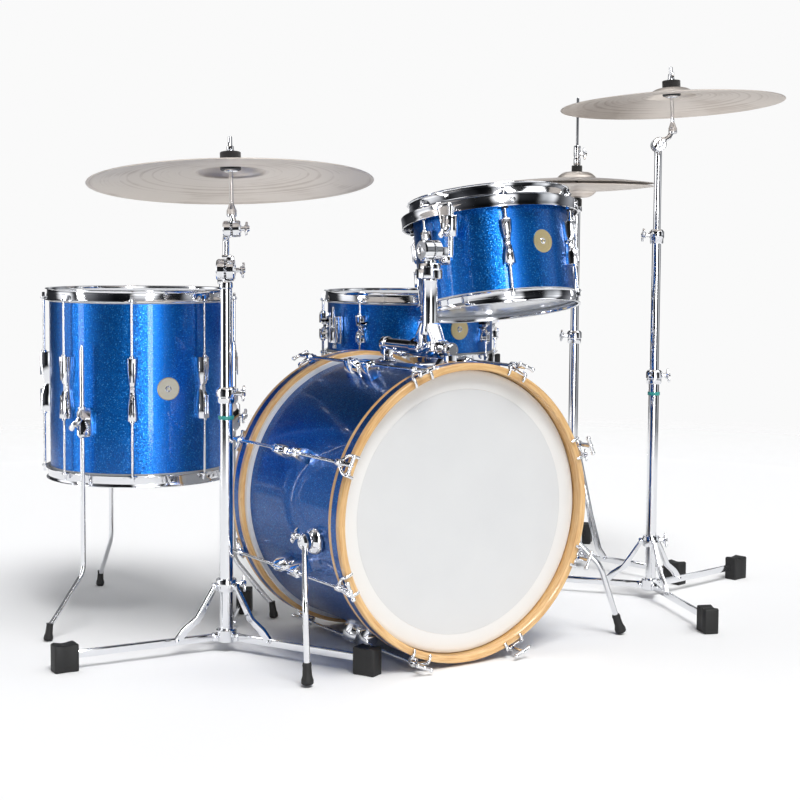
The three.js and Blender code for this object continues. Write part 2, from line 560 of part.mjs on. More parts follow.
function rideTube() {
  const { rodTube, joinZ, clampZ } = RIDE;
  const across = box(-16, -PIVOT / 2, -9, 9, clampZ - 26, clampZ - 6);
  const half = rod(vec(-18, 0, clampZ), vec(-PIVOT / 2, 0, clampZ), 20, 16);
  const turnedHalf = [across, half].map((piece) => turned(piece, RIDE_TILT.hinge));
  return join(disc(rodTube, joinZ - 110, clampZ - 21, PIPE), turnedHalf);
}

function rideRod() {
  const { clampZ, x, y } = RIDE;
  const half = rod(vec(PIVOT / 2, 0, clampZ), vec(18, 0, clampZ), 20, 16);
  const cap = box(PIVOT, 16, -7, 7, clampZ + 10, clampZ + 26);
  const neck = box(-7, 10, -7, 7, clampZ + 21, clampZ + 28);
  const clamp = [half, cap, neck, ...wingBolt(0, 0, clampZ, 0, 17)];
  const upright = disc(RIDE.rod, clampZ + 22, rideTop.z, SMALL);
  const local = join(clamp.map((piece) => turned(piece, RIDE_TILT.hinge)), upright);
  return local.translate([x, y, 0]).add(tilterBase(RIDE_TILT, rideTop));
}

const rideStand = [
  group([
    standBase('ride_stand_base', RIDE,
      { top: RIDE.joinZ - 12, innerRadius: RIDE.rodTube, strutZ: 125, boltAngle: RIDE_TILT.hinge }),
    meshOf('ride_stand_tube', rideTube(), CHROME),
  ], { x: RIDE.x, y: RIDE.y }),
  meshOf('ride_stand_rod', rideRod(), CHROME),
  cymbalOnStem('ride', RIDE_TILT, RIDE_CYMBAL),
];

// ---------------------------------------------------------------- crash stand and cymbal
const crashTop = vec(CRASH.x, CRASH.y, CRASH.rodTop);

function crashRod() {
  const { topTube, midJoinZ, x, y } = CRASH;
  const tube = disc(topTube, midJoinZ - 100, crashTop.z, PIPE).translate(x, y, 0);
  return join(tube).add(tilterBase(CRASH_TILT, crashTop));
}

const crashStand = [
  group([
    standBase('crash_stand_base', CRASH,
      { top: CRASH.joinZ - 12, innerRadius: CRASH.midTube, strutZ: 125, boltAngle: -33 }),
    meshOf('crash_stand_tube',
      slidingTube(CRASH.midTube, CRASH.joinZ - 100, CRASH.midJoinZ - 12, CRASH.topTube, 147), CHROME),
  ], { x: CRASH.x, y: CRASH.y }),
  meshOf('crash_stand_rod', crashRod(), CHROME),
  cymbalOnStem('crash', CRASH_TILT, CRASH_CYMBAL),
];

// ---------------------------------------------------------------- hi-hats
// the tube stands on a yoke, so that the pedal's toe can reach the pull rod on its axis
const YOKE = { half: 30, inside: 24, top: 165, plate: 32, strutZ: 262 };
const HAT_SLEEVE = 20;
const bottomRim = HAT.seatZ + HAT_SLEEVE + HAT_CYMBAL.height;
const topRim = bottomRim + HAT.gap;
const PULL_ROD = { radius: 3, top: 1097 };

function hatBase() {
  const { half, inside, top, plate, strutZ } = YOKE;
  const cheeks = [-1, 1].map((side) => box(-9, 9, side > 0 ? inside : -half, side > 0 ? half : -inside, 12, top));
  const yoke = [box(-12, 12, -half, half, top - 22, top), ...cheeks].map((piece) => turned(piece, PEDAL.angle));
  const tubeTop = HAT.joinZ - 12;
  const pieces = [
    disc(HAT.tube, top - 10, tubeTop, PIPE), disc(plate, 10, 24, 20), disc(HAT.tube + 7, strutZ - 12, strutZ + 10, PIPE),
    disc(HAT.tube + 6, tubeTop - 6, tubeTop + 24, PIPE), ...yoke,
    ...wingBolt(0, 0, strutZ, 330, HAT.tube + 6), ...wingBolt(0, 0, tubeTop + 12, 147, HAT.tube + 5),
    ...tripodLegs(HAT, strutZ, plate - 4),
  ];
  return cut(join(pieces), disc(HAT.topTube + SLIDE, 90, HAT.joinZ + 30, PIPE));
}

const hatTube = cut(
  join(disc(HAT.topTube, HAT.joinZ - 100, HAT.seatZ - 10, PIPE), disc(13, HAT.seatZ - 12, HAT.seatZ, PIPE),
    disc(9, HAT.seatZ - 1, bottomRim - HAT_CYMBAL.height - FIT, PIPE)),
  disc(PULL_ROD.radius + PIVOT, 0, 1000, SMALL),
);

function hatClutch() {
  const bellTop = topRim + HAT_CYMBAL.height;
  const below = bellTop - HAT_CYMBAL.thick - FIT;
  return cut(join(
    disc(STEM.radius + 0.2, below - 8, bellTop + 5, PIPE), disc(10, below - 8, below, PIPE),
    disc(12.5, bellTop + FIT, bellTop + 14, PIPE), disc(8, bellTop + 13, bellTop + 60, PIPE),
    wingBolt(0, 0, bellTop + 42, -33, 7, 12),
  ), disc(PULL_ROD.radius + SLIDE, 0, 1200, SMALL));
}

const pedalToe = PEDAL.toeZ + PEDAL.thick;

function footboard() {
  const { heel, heelZ, width, toeZ, thick } = PEDAL;
  const along = (reach) => heelZ + (toeZ - heelZ) * (1 - reach / (heel - 8));
  const board = (from, to, half) => plateY(
    [[from, along(from)], [to, along(to)], [to, along(to) + thick], [from, along(from) + thick]], -half, half);
  const boards = [board(0, 62, 17), board(56, heel - 18, width / 2), board(heel - 20, heel - 8, 29)];
  return join(boards, rod(vec(heel - 6, -30, heelZ), vec(heel - 6, 30, heelZ), 6));
}

function heelPlate() {
  const { heel, heelZ } = PEDAL;
  const lugs = [-38, 31].map((across) => box(heel - 14, heel + 4, across, across + 7, 0, heelZ + 6));
  const rods = [-26, 26].map((across) => rod(vec(YOKE.plate + FIT, across * 0.7, 5), vec(heel - 8, across, 5), 3));
  return join(box(heel - 14, heel + 66, -38, 38, 0, 12), lugs, rods);
}

const hiHat = group([
  meshOf('hihat_stand_base', hatBase(), CHROME),
  meshOf('hihat_stand_tube', hatTube, CHROME),
  meshOf('hihat_pull_rod', disc(PULL_ROD.radius, pedalToe + PIVOT, PULL_ROD.top, SMALL), CHROME),
  meshOf('hihat_clutch', hatClutch(), CHROME),
  group([cymbal('hihat_bottom_cymbal', HAT_CYMBAL, -1)], { z: bottomRim }),
  group([cymbal('hihat_top_cymbal', HAT_CYMBAL)], { z: topRim }),
  group([meshOf('hihat_footboard', footboard(), CHROME), meshOf('hihat_heel_plate', heelPlate(), CHROME)], { rz: PEDAL.angle }),
], { x: HAT.x, y: HAT.y });

// ---------------------------------------------------------------- snare stand
const snareRim = SNARE.z - SNARE.depth / 2 - HEAD.film - 2 * FIT - HOOP.rise;
const BASKET = {
  hub: 20, plateLow: SNARE_STAND.hubZ + 18, plateHigh: SNARE_STAND.hubZ + 28, pivotRadius: 14,
};

const snarePost = join(
  disc(SNARE_STAND.post, SNARE_STAND.joinZ - 90, SNARE_STAND.hubZ - 15, PIPE),
  box(-15, -PIVOT / 2, -7, 7, SNARE_STAND.hubZ - 20, SNARE_STAND.hubZ),
  rod(vec(-16, 0, SNARE_STAND.hubZ), vec(-PIVOT / 2, 0, SNARE_STAND.hubZ), BASKET.pivotRadius, 16),
);

const basketHub = join(
  rod(vec(PIVOT / 2, 0, SNARE_STAND.hubZ), vec(16, 0, SNARE_STAND.hubZ), BASKET.pivotRadius, 16),
  box(PIVOT, 14, -7, 7, SNARE_STAND.hubZ + 4, BASKET.plateLow + 2),
  disc(BASKET.hub, BASKET.plateLow, BASKET.plateHigh, PIPE),
);

function basketArm(index) {
  const grip = SNARE.radius + HEAD.skirt + 2 * FIT + HOOP.wall + HOOP.lip + 2 * FIT;
  const rest = snareRim - FIT;
  const low = BASKET.plateLow;
  const start = BASKET.hub + FIT;
  const bar = [[start, low], [130, low + 6], [grip + 9, rest - 12], [grip + 9, rest], [grip - 16, rest],
    [126, low + 15], [start, low + 9]];
  const hook = box(grip, grip + 10, -11, 11, rest - 12, rest + 19);
  const pieces = [plateY(bar, -5, 5), hook].map((piece) => turned(piece, BASKET_ANGLES[index]));
  return meshOf(`snare_basket_arm_${index + 1}`, join(pieces), CHROME);
}

const snareStand = group([
  standBase('snare_stand_base', SNARE_STAND,
    { top: SNARE_STAND.joinZ - 12, innerRadius: SNARE_STAND.post, strutZ: 150, boltAngle: 20 }),
  meshOf('snare_stand_post', snarePost, CHROME),
  meshOf('snare_basket_hub', basketHub, CHROME),
  ...BASKET_ANGLES.map((_, index) => basketArm(index)),
], { x: SNARE.x, y: SNARE.y });

// ---------------------------------------------------------------- the kit
const kit = group([
  bassDrum,
  spur('bass_spur_left', -1, SPUR_LEFT),
  spur('bass_spur_right', 1, SPUR_RIGHT),
  ...tomHolder,
  rackTom,
  floorTom,
  ...FLOOR_LEG_ANGLES.map((_, index) => floorTomLeg(index)),
  snareDrum,
  snareStand,
  ...rideStand,
  ...crashStand,
  hiHat,
]);
kit.updateMatrixWorld(true);
const bounds = new THREE.Box3().setFromObject(kit, true);
const centre = bounds.getCenter(vec(0, 0, 0));
kit.position.set(-centre.x, -centre.y, -bounds.min.z);
kit.name = 'drum_kit';

export default kit;
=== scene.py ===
import math

import bmesh
import bpy
from mathutils import Matrix, Vector


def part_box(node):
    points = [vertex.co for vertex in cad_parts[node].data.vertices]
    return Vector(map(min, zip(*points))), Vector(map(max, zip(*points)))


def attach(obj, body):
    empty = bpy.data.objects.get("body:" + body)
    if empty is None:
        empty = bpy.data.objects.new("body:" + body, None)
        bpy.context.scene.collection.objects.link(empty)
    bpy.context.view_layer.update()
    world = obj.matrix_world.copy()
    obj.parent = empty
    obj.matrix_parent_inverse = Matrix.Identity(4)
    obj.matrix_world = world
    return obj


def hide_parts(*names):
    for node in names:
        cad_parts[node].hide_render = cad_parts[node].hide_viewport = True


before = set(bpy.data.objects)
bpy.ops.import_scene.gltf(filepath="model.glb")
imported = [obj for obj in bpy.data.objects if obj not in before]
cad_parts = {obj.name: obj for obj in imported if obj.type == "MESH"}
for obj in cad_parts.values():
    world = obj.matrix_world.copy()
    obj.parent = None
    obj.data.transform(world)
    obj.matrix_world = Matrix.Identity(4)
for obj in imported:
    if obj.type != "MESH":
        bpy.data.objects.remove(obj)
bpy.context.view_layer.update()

# ---------------------------------------------------------------- studio A pale floor, a bright room
# with a few dark screens for the chrome to mirror, and three soft boxes.
MM = 0.001
scene = bpy.context.scene
shell_low, shell_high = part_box("bass_shell")
kit_zero = Vector(((shell_low.x + shell_high.x) / 2, (shell_low.y + shell_high.y) / 2, 0))


def linear(colour):
    """An sRGB hex colour as the linear colour that a shader takes."""
    parts = [int(colour[i:i + 2], 16) / 255 for i in (1, 3, 5)]
    return [c / 12.92 if c <= 0.04045 else ((c + 0.055) / 1.055) ** 2.4 for c in parts] + [1]


def feed(node, inputs):
    """Gives each named input of a node a number, a colour, or the socket that feeds it."""
    for name, value in inputs.items():
        if isinstance(value, bpy.types.NodeSocket):
            node.id_data.links.new(value, node.inputs[name])
        else:
            node.inputs[name].default_value = value


def add_node(tree, kind, inputs=None, **settings):
    """Adds a node with its settings and its inputs."""
    node = tree.nodes.new("ShaderNode" + kind)
    for name, value in settings.items():
        setattr(node, name, value)
    feed(node, inputs or {})
    return node


def set_stops(ramp_node, *stops):
    """Sets a ramp's stops; each is a position and an sRGB hex colour."""
    ramp = ramp_node.color_ramp
    for end, (where, shade) in zip(ramp.elements, (stops[0], stops[-1])):
        end.position = where
        end.color = linear(shade)
    for where, shade in stops[1:-1]:
        ramp.elements.new(where).color = linear(shade)


eye = kit_zero + Vector((-1643.1, -2496.5, 756.8)) * MM
heading, dip, roll = math.radians(33.043), math.radians(4.239), math.radians(0.4075)
forward = Vector((math.sin(heading) * math.cos(dip), math.cos(heading) * math.cos(dip), -math.sin(dip)))
level = Vector((math.cos(heading), -math.sin(heading), 0))
right = Matrix.Rotation(-roll, 3, forward) @ level
camera = bpy.data.objects.new("camera", bpy.data.cameras.new("camera"))
facing_axes = Matrix((right, right.cross(forward), -forward)).transposed()
camera.matrix_world = Matrix.Translation(eye) @ facing_axes.to_4x4()
camera.data.lens = 71.72
camera.data.shift_y = -0.0481
scene.collection.objects.link(camera)
scene.camera = camera
scene.view_settings.view_transform = "Standard"

room = bpy.data.worlds.new("room")
room.use_nodes = True
scene.world = room
tree = room.node_tree
tree.nodes.clear()
way = add_node(tree, "TexCoord").outputs["Generated"]
parts = add_node(tree, "SeparateXYZ", {0: way})
raised = add_node(tree, "MapRange", {0: parts.outputs[2], 1: -1, 2: 1})
heights = add_node(tree, "ValToRGB", {0: raised.outputs[0]})
set_stops(heights, (0, "#9c9da0"), (0.42, "#8e8f92"), (0.47, "#dcdddf"), (0.52, "#ffffff"), (0.66, "#d6d7d9"),
      (0.75, "#6f7073"), (0.86, "#a4a5a8"), (0.92, "#ffffff"), (1, "#ffffff"))
compass = add_node(tree, "Math", {0: parts.outputs[1], 1: parts.outputs[0]}, operation="ARCTAN2").outputs[0]
rounded = add_node(tree, "MapRange", {0: compass, 1: -math.pi, 2: math.pi})
screens = add_node(tree, "ValToRGB", {0: rounded.outputs[0]})
screens.color_ramp.interpolation = "EASE"
set_stops(screens, (0, "#6c6d70"), (0.05, "#3a3b3e"), (0.1, "#141517"), (0.15, "#1c1d1f"),
    (0.175, "#ffffff"), (0.235, "#ffffff"), (0.26, "#2a2b2d"), (0.33, "#1a1b1d"), (0.37, "#b4b6b8"),
    (0.41, "#e0e1e2"), (0.44, "#3c3d40"), (0.52, "#8a8b8e"), (0.58, "#1c1d1f"), (0.64, "#d0d1d3"),
    (0.7, "#5a5b5e"), (0.76, "#222325"), (0.83, "#26272a"), (0.87, "#f4f4f5"), (0.91, "#f4f4f5"),
    (0.94, "#2c2d30"), (1, "#6c6d70"))
walls = add_node(tree, "Mix", {0: 1, 6: heights.outputs[0], 7: screens.outputs[0]}, data_type="RGBA",
    blend_type="MULTIPLY")
seen = add_node(tree, "LightPath").outputs["Is Camera Ray"]
mirrored = add_node(tree, "Background", {"Color": walls.outputs[2], "Strength": 1.7})
backdrop = add_node(tree, "Background", {"Color": linear("#fafafa"), "Strength": 1.0})
shown = add_node(tree, "MixShader", {0: seen, 1: mirrored.outputs[0], 2: backdrop.outputs[0]})
add_node(tree, "OutputWorld", {"Surface": shown.outputs[0]})

# the suns' compass bearings, heights and softness are in degrees
for name, heading, height, power, softness in (("key", 262, 58, 2.2, 26), ("fill", 325, 50, 0.5, 40),
                                               ("back", 100, 60, 0.3, 35)):
    lamp = bpy.data.objects.new(name, bpy.data.lights.new(name, "SUN"))
    lamp.data.energy = power
    lamp.data.angle = math.radians(softness)
    lamp.rotation_euler = (0, math.radians(90 - height), math.radians(heading))
    scene.collection.objects.link(lamp)

for name, heading, distance, power in (("front_strip", 251, 3.6, 62), ("left_strip", 167, 3.2, 26)):
    strip = bpy.data.objects.new(name, bpy.data.lights.new(name, "AREA"))
    strip.data.shape = "RECTANGLE"
    strip.data.size, strip.data.size_y = 0.4, 2.8
    strip.data.energy = power
    strip.visible_diffuse = False
    strip.location = Matrix.Rotation(math.radians(heading), 3, "Z") @ Vector((distance, 0, 1.15))
    strip.rotation_euler = (math.radians(90), 0, math.radians(heading + 90))
    scene.collection.objects.link(strip)

floor_shape = bmesh.new()
bmesh.ops.create_grid(floor_shape, x_segments=1, y_segments=1, size=14)
floor_mesh = bpy.data.meshes.new("floor")
floor_shape.to_mesh(floor_mesh)
floor = bpy.data.objects.new("floor", floor_mesh)
scene.collection.objects.link(floor)
paint = bpy.data.materials.new("floor_paint")
paint.use_nodes = True
painted = paint.node_tree.nodes["Principled BSDF"]
feed(painted, {"Base Color": linear("#f6f6f6"), "Roughness": 0.9})
tree = paint.node_tree
middle = add_node(tree, "TexCoord").outputs["Object"]
away = add_node(tree, "VectorMath", {0: middle}, operation="LENGTH").outputs["Value"]
faded = add_node(tree, "MapRange", {0: away, 1: 2.5, 2: 3.8})
clear = add_node(tree, "BsdfTransparent")
edge = add_node(tree, "MixShader", {0: faded.outputs[0], 1: painted.outputs[0], 2: clear.outputs[0]})
tree.links.new(edge.outputs[0], tree.nodes["Material Output"].inputs["Surface"])
floor_mesh.materials.append(paint)

# ---------------------------------------------------------------- bass drum shell
# A 20 inch shell of bent maple plies, wrapped in a plastic film with glitter in it, and lying on its side.
# Pieces are drawn in millimetres about their own axis and then put in place.


def at(x=0, y=0, z=0):
    """Moves a piece, in millimetres."""
    return Matrix.Translation((x, y, z))


def about(degrees, axis="Z"):
    """Turns a piece about an axis."""
    return Matrix.Rotation(math.radians(degrees), 4, axis)


def set_at(x=0, y=0, z=0, turn=0, tip=0):
    return (Matrix.Translation(kit_zero + Vector((x, y, z)) * MM) @ about(turn)
            @ about(tip, "X") @ Matrix.Scale(MM, 4))


def turned(profile, steps=128):
    """A profile of (radius, height) pairs turned about Z."""
    shape = bmesh.new()
    line = [shape.verts.new((radius, 0, height)) for radius, height in profile]
    edges = [shape.edges.new(pair) for pair in zip(line, line[1:])]
    if profile[0][0] > 0 and profile[-1][0] > 0:
        edges.append(shape.edges.new((line[-1], line[0])))
    bmesh.ops.spin(shape, geom=line + edges, cent=(0, 0, 0), axis=(0, 0, 1), angle=math.tau, steps=steps,
        use_merge=True)
    bmesh.ops.remove_doubles(shape, verts=shape.verts, dist=1e-4)
    return shape


def round_the_axis(count, first=0.0):
    """Turns about Z that share a circle out evenly."""
    return [about(first + 360 / count * i) for i in range(count)]


def put(piece, shape, places=(Matrix(),)):
    """Copies a shape into a piece at each place."""
    for place in places:
        copy = bpy.data.meshes.new("copy")
        shape.to_mesh(copy)
        copy.transform(place)
        piece.from_mesh(copy)
        bpy.data.meshes.remove(copy)
    shape.free()


def joined(*parts):
    """One piece out of its parts; a pair is a shape and the places that it is copied to."""
    piece = bmesh.new()
    for part in parts:
        put(piece, *part if isinstance(part, tuple) else (part,))
    return piece


def finish_piece(name, piece, place, finish, body, stands_for=(), crease=38):
    """Sets a piece in place, rounds its shading below the crease angle, and hangs it on its body."""
    bmesh.ops.transform(piece, matrix=place, verts=piece.verts)
    bmesh.ops.recalc_face_normals(piece, faces=piece.faces)
    for face in piece.faces:
        face.smooth = True
    for edge in piece.edges:
        edge.smooth = edge.calc_face_angle(0) < math.radians(crease)
    mesh = bpy.data.meshes.new(name)
    piece.to_mesh(mesh)
    piece.free()
    mesh.materials.append(finish)
    made = bpy.data.objects.new(name, mesh)
    scene.collection.objects.link(made)
    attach(made, body)
    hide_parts(*stands_for)
    return made


slots = {}


def new_finish(name, slot):
    """A new finish for a slot, with its node tree, its shader and the piece's own coordinates."""
    finish = bpy.data.materials.new(name)
    finish.use_nodes = True
    slots[name] = slot
    tree = finish.node_tree
    return finish, tree, tree.nodes["Principled BSDF"], add_node(tree, "TexCoord").outputs["Object"]


def recoloured(finish, name, *shades):
    """The same finish in other colours."""
    other = finish.copy()
    other.name = name
    slots[name] = slots[finish.name]
    ramp = next(node for node in other.node_tree.nodes if node.type == "VALTORGB").color_ramp
    for stop, shade in zip(ramp.elements, shades):
        stop.color = linear(shade)
    return other


# Sparkle wrap: clear cellulose film over glitter flakes, each lying at its own small angle, so single flakes
# flash while the colour under them stays deep. Each flake's colour is picked at random from navy to blue, and the
# palest few, in pale cyan, are painted glints. Real flakes are 0.4 mm; these are 2 mm, so that they show.
sparkle_wrap, tree, shader, spot = new_finish("blue_sparkle_wrap", "blue_sparkle")
flakes = add_node(tree, "TexVoronoi", {"Vector": spot, "Scale": 850})
flake_tone_and_glint = add_node(tree, "SeparateColor", {0: flakes.outputs["Color"]})
tint = add_node(tree, "ValToRGB", {0: flake_tone_and_glint.outputs[0]})
set_stops(tint, (0, "#054c98"), (0.5, "#0663be"), (0.93, "#0c78d6"), (1, "#5cbcff"))
lean = add_node(tree, "VectorMath", {0: flakes.outputs["Color"], 1: (0.5, 0.5, 0.5)}, operation="SUBTRACT")
small = add_node(tree, "VectorMath", {0: lean.outputs[0], "Scale": 0.2}, operation="SCALE")
facing = add_node(tree, "NewGeometry").outputs["Normal"]
tipped = add_node(tree, "VectorMath", {0: facing, 1: small.outputs[0]}, operation="ADD")
flat = add_node(tree, "VectorMath", {0: tipped.outputs[0]}, operation="NORMALIZE")
feed(shader, {"Base Color": tint.outputs[0], "Normal": flat.outputs[0], "Metallic": 0.88, "Roughness": 0.34,
    "Coat Weight": 0.4, "Coat Roughness": 0.04})

# Lacquered maple: pale, with fine darker lines that run round the bent ply.
maple, tree, shader, spot = new_finish("lacquered_maple", "maple")
centred = add_node(tree, "Mapping", {0: spot, 1: -Vector((kit_zero.x, 0, 0.276))})
parts = add_node(tree, "SeparateXYZ", {0: centred.outputs[0]})
bearing = add_node(tree, "Math", {0: parts.outputs[2], 1: parts.outputs[0]}, operation="ARCTAN2").outputs[0]
along = add_node(tree, "Math", {0: bearing, 1: 0.02}, operation="MULTIPLY").outputs[0]
across = add_node(tree, "CombineXYZ", {0: parts.outputs[0], 2: parts.outputs[2]})
depth = add_node(tree, "VectorMath", {0: across.outputs[0]}, operation="LENGTH").outputs["Value"]
bent = add_node(tree, "CombineXYZ", {0: along, 1: parts.outputs[1], 2: depth})
grain = add_node(tree, "TexNoise", {"Vector": bent.outputs[0], "Scale": 260, "Detail": 5, "Roughness": 0.6})
tint = add_node(tree, "ValToRGB", {0: grain.outputs[0]})
set_stops(tint, (0.3, "#d29a58"), (0.65, "#f0c98e"))
bump = add_node(tree, "Bump", {"Height": grain.outputs[0], "Strength": 0.08, "Distance": 0.0005})
feed(shader, {"Base Color": tint.outputs[0], "Normal": bump.outputs[0], "Roughness": 0.38,
    "Coat Weight": 0.6, "Coat Roughness": 0.08})

BASS_RADIUS, BASS_LUGS, BASS_PHASE = 254, 8, 22.5
bass_place = set_at(z=276, tip=90)
finish_piece("bass_shell_ply", turned([(247, -172), (250, -178), (253.2, -176), (253.2, 176), (250, 178),
    (247, 172)], 160), bass_place, maple, "kit")

# The bass drum's own wrap is the toms' wrap drawn deeper, as painted shade, because its low side mirrors the pale
# floor.
shaded_wrap = recoloured(sparkle_wrap, "painted_shade_blue_sparkle_wrap", "#033a7a", "#044a92", "#085fb0", "#3f9fe6")
finish_piece("bass_shell_wrap", turned([(253.3, -176), (254, -175.6), (254, 175.6), (253.3, 176)], 160),
    bass_place, shaded_wrap, "kit", ["bass_shell"])

# ---------------------------------------------------------------- lugs
# Zinc castings with bright chrome plate, screwed to the shell: wide at both ends and narrow in the middle,
# with two raised beads on each end. A swivel nut in each end takes a tension rod.

# Chrome plate: a hard mirror; handling leaves faint smears that dull it in patches about 30 mm across.
chrome, tree, shader, spot = new_finish("chrome_plate", "chrome")
smears = add_node(tree, "TexNoise", {"Vector": spot, "Scale": 30, "Detail": 3})
dulled = add_node(tree, "MapRange", {0: smears.outputs[0], 1: 0.35, 2: 0.75, 3: 0.05, 4: 0.13})
feed(shader, {"Roughness": dulled.outputs[0], "Base Color": linear("#e6e7ea"), "Metallic": 1.0})


def ease(shape, offset, segments=2, above=30):
    """Rounds the edges that are sharper than an angle."""
    sharp = [edge for edge in shape.edges if edge.calc_face_angle(0) > math.radians(above)]
    bmesh.ops.bevel(shape, geom=sharp, offset=offset, offset_type="OFFSET", segments=segments, profile=0.5,
                    affect="EDGES", clamp_overlap=True, material=-1)
    return shape


def plate(outline, low, high, edge=0.6):
    """A plate cut to an outline in XY, from one height to another, with eased edges."""
    shape = bmesh.new()
    face = shape.faces.new([shape.verts.new((x, y, low)) for x, y in outline])
    lifted = bmesh.ops.extrude_face_region(shape, geom=[face])["geom"]
    bmesh.ops.translate(shape, vec=(0, 0, high - low), verts=[v for v in lifted if isinstance(v,
        bmesh.types.BMVert)])
    return ease(shape, edge) if edge else shape


def block(x0, x1, y0, y1, z0, z1, edge=0.6):
    """A block with eased edges."""
    return plate([(x0, y0), (x1, y0), (x1, y1), (x0, y1)], z0, z1, edge)


def cast(outline, stations, edge=0.6):
    """An outline in XZ drawn out along Y; each station is (y, width share, height share)."""
    shape = bmesh.new()
    face = shape.faces.new([shape.verts.new((x * stations[0][1], stations[0][0], z * stations[0][2])) for x,
        z in outline])
    for (y, wide, tall), (next_y, next_wide, next_tall) in zip(stations, stations[1:]):
        pulled = bmesh.ops.extrude_face_region(shape, geom=[face])["geom"]
        face = next(f for f in pulled if isinstance(f, bmesh.types.BMFace))
        bmesh.ops.translate(shape, vec=(0, next_y - y, 0), verts=face.verts)
        bmesh.ops.scale(shape, vec=(next_wide / wide, 1, next_tall / tall), verts=face.verts)
    return ease(shape, edge) if edge else shape


def bow_tie_lug(length, width, height):
    """A double-ended lug, drawn with the shell's face at height 0 and its length along Y."""
    half = length / 2
    section = [(-width / 2, -1.5), (width / 2, -1.5), (width / 2, height * 0.5), (width * 0.3, height),
        (-width * 0.3, height), (-width / 2, height * 0.5)]
    bead = bar([(0, -half * 0.86, 0), (0, -half * 0.24, 0)], 1.3, sides=8)
    return joined(
        cast(section, [(-half, 0.96, 1), (-half * 0.5, 0.84, 0.97), (-half * 0.14, 0.58, 0.76),
            (-half * 0.1, 0.56, 0.6), (half * 0.1, 0.56, 0.6), (half * 0.14, 0.58, 0.76),
            (half * 0.5, 0.84, 0.97), (half, 0.96, 1)], 0.7),
        (bead, [at(side * width * 0.13, 0, height * 0.99) @ about(turn) for side in (-1, 1)
            for turn in (0, 180)]))


def bar(points, radius, bend=0, sides=16):
    """A round bar through points, with its corners bent to a radius."""
    path = [Vector(points[0])]
    for before, corner, after in zip(points, points[1:], points[2:]):
        corner = Vector(corner)
        back, on = (Vector(before) - corner).normalized(), (Vector(after) - corner).normalized()
        for i in range(7):
            share = i / 6
            path.append(corner + back * bend * (1 - share) ** 2 + on * bend * share ** 2)
    path.append(Vector(points[-1]))
    path = [p for i, p in enumerate(path) if i == 0 or (p - path[i - 1]).length > 1e-3]
    shape = bmesh.new()
    way = (path[1] - path[0]).normalized()
    frame_now = Matrix.Translation(path[0]) @ way.to_track_quat("Z", "Y").to_matrix().to_4x4()
    ring = bmesh.ops.create_circle(shape, cap_ends=True, segments=sides, radius=radius,
        matrix=frame_now)["verts"]
    edges = list({edge for vert in ring for edge in vert.link_edges})
    for i in range(1, len(path)):
        coming = (path[i] - path[i - 1]).normalized()
        going = (path[i + 1] - path[i]).normalized() if i + 1 < len(path) else coming
        middle = (coming + going).normalized()
        grown = bmesh.ops.extrude_edge_only(shape, edges=edges)["geom"]
        ring = [v for v in grown if isinstance(v, bmesh.types.BMVert)]
        edges = [e for e in grown if isinstance(e, bmesh.types.BMEdge) and all(v in ring for v in e.verts)]
        swing = way.rotation_difference(middle).to_matrix().to_4x4()
        bmesh.ops.transform(shape, matrix=Matrix.Translation(path[i]) @ swing
            @ Matrix.Translation(-path[i - 1]), verts=ring)
        way = middle
    bmesh.ops.contextual_create(shape, geom=edges)
    return shape


# turns a piece that was drawn lying on its back upright on a shell
UPRIGHT = about(90) @ about(90, "X")
finish_piece("bass_lugs", joined(
    (bow_tie_lug(84, 26, 34), [turn @ at(BASS_RADIUS) @ UPRIGHT for turn in round_the_axis(BASS_LUGS,
        BASS_PHASE)])),
    bass_place, chrome, "kit")

# ---------------------------------------------------------------- bass drum heads
# Polyester film, coated white and heat-formed to a collar at the rim, with a damping ring behind the edge that
# shows as a paler band. Each is glued into a metal flesh hoop that the wooden hoop presses on.

# Coated film: white paint sprayed thin and slightly grainy on clear polyester, so it is matt and evenly pale.
coated_film, tree, shader, spot = new_finish("coated_polyester", "coated_head")
specks = add_node(tree, "TexNoise", {"Vector": spot, "Scale": 700, "Detail": 4})
cloud = add_node(tree, "TexNoise", {"Vector": spot, "Scale": 9, "Detail": 2})
tint = add_node(tree, "ValToRGB", {0: cloud.outputs[0]})
set_stops(tint, (0, "#d8d9da"), (1, "#e0e1e1"))
bump = add_node(tree, "Bump", {"Height": specks.outputs[0], "Strength": 0.12, "Distance": 0.0003})
feed(shader, {"Base Color": tint.outputs[0], "Normal": bump.outputs[0], "Roughness": 0.62})

# Damped film: the same coating where the ring behind it stops light going through, so it is whiter.
damped_film = recoloured(coated_film, "coated_polyester_over_ring", "#e8e8e7", "#eeeeec")


# turns a piece drawn for the top or front of a drum over to its other end
FLIPPED = about(180, "X")


def bass_head(name, over, node):
    finish_piece(name, turned([(0, 179.3), (222, 179.3), (222, 178.3), (0, 178.3)], 160), bass_place @ over,
        coated_film, "kit", [node])
    finish_piece(name + "_edge", turned([(222.2, 179.3), (247, 179.5), (252, 179.2), (255.4, 177.4),
        (256.4, 174), (256.4, 162), (262, 161.4), (262, 153), (254.4, 153), (254.4, 173), (253, 176.6),
        (247, 178.4), (222.2, 178.3)], 160), bass_place @ over, damped_film, "kit")


bass_head("bass_front_film", Matrix(), "bass_front_head")
bass_head("bass_batter_film", FLIPPED, "bass_batter_head")

# ---------------------------------------------------------------- bass drum hoops
# Bent maple hoops, 38 mm wide, with a band of the same sparkle wrap let into the outside. Eight claws hook over
# each one: a boss on the rod, and two arms that spread and bend round the hoop's edge.
ROD_RADIUS = 282
MIRRORED = Matrix.Scale(-1, 4, (0, 1, 0))


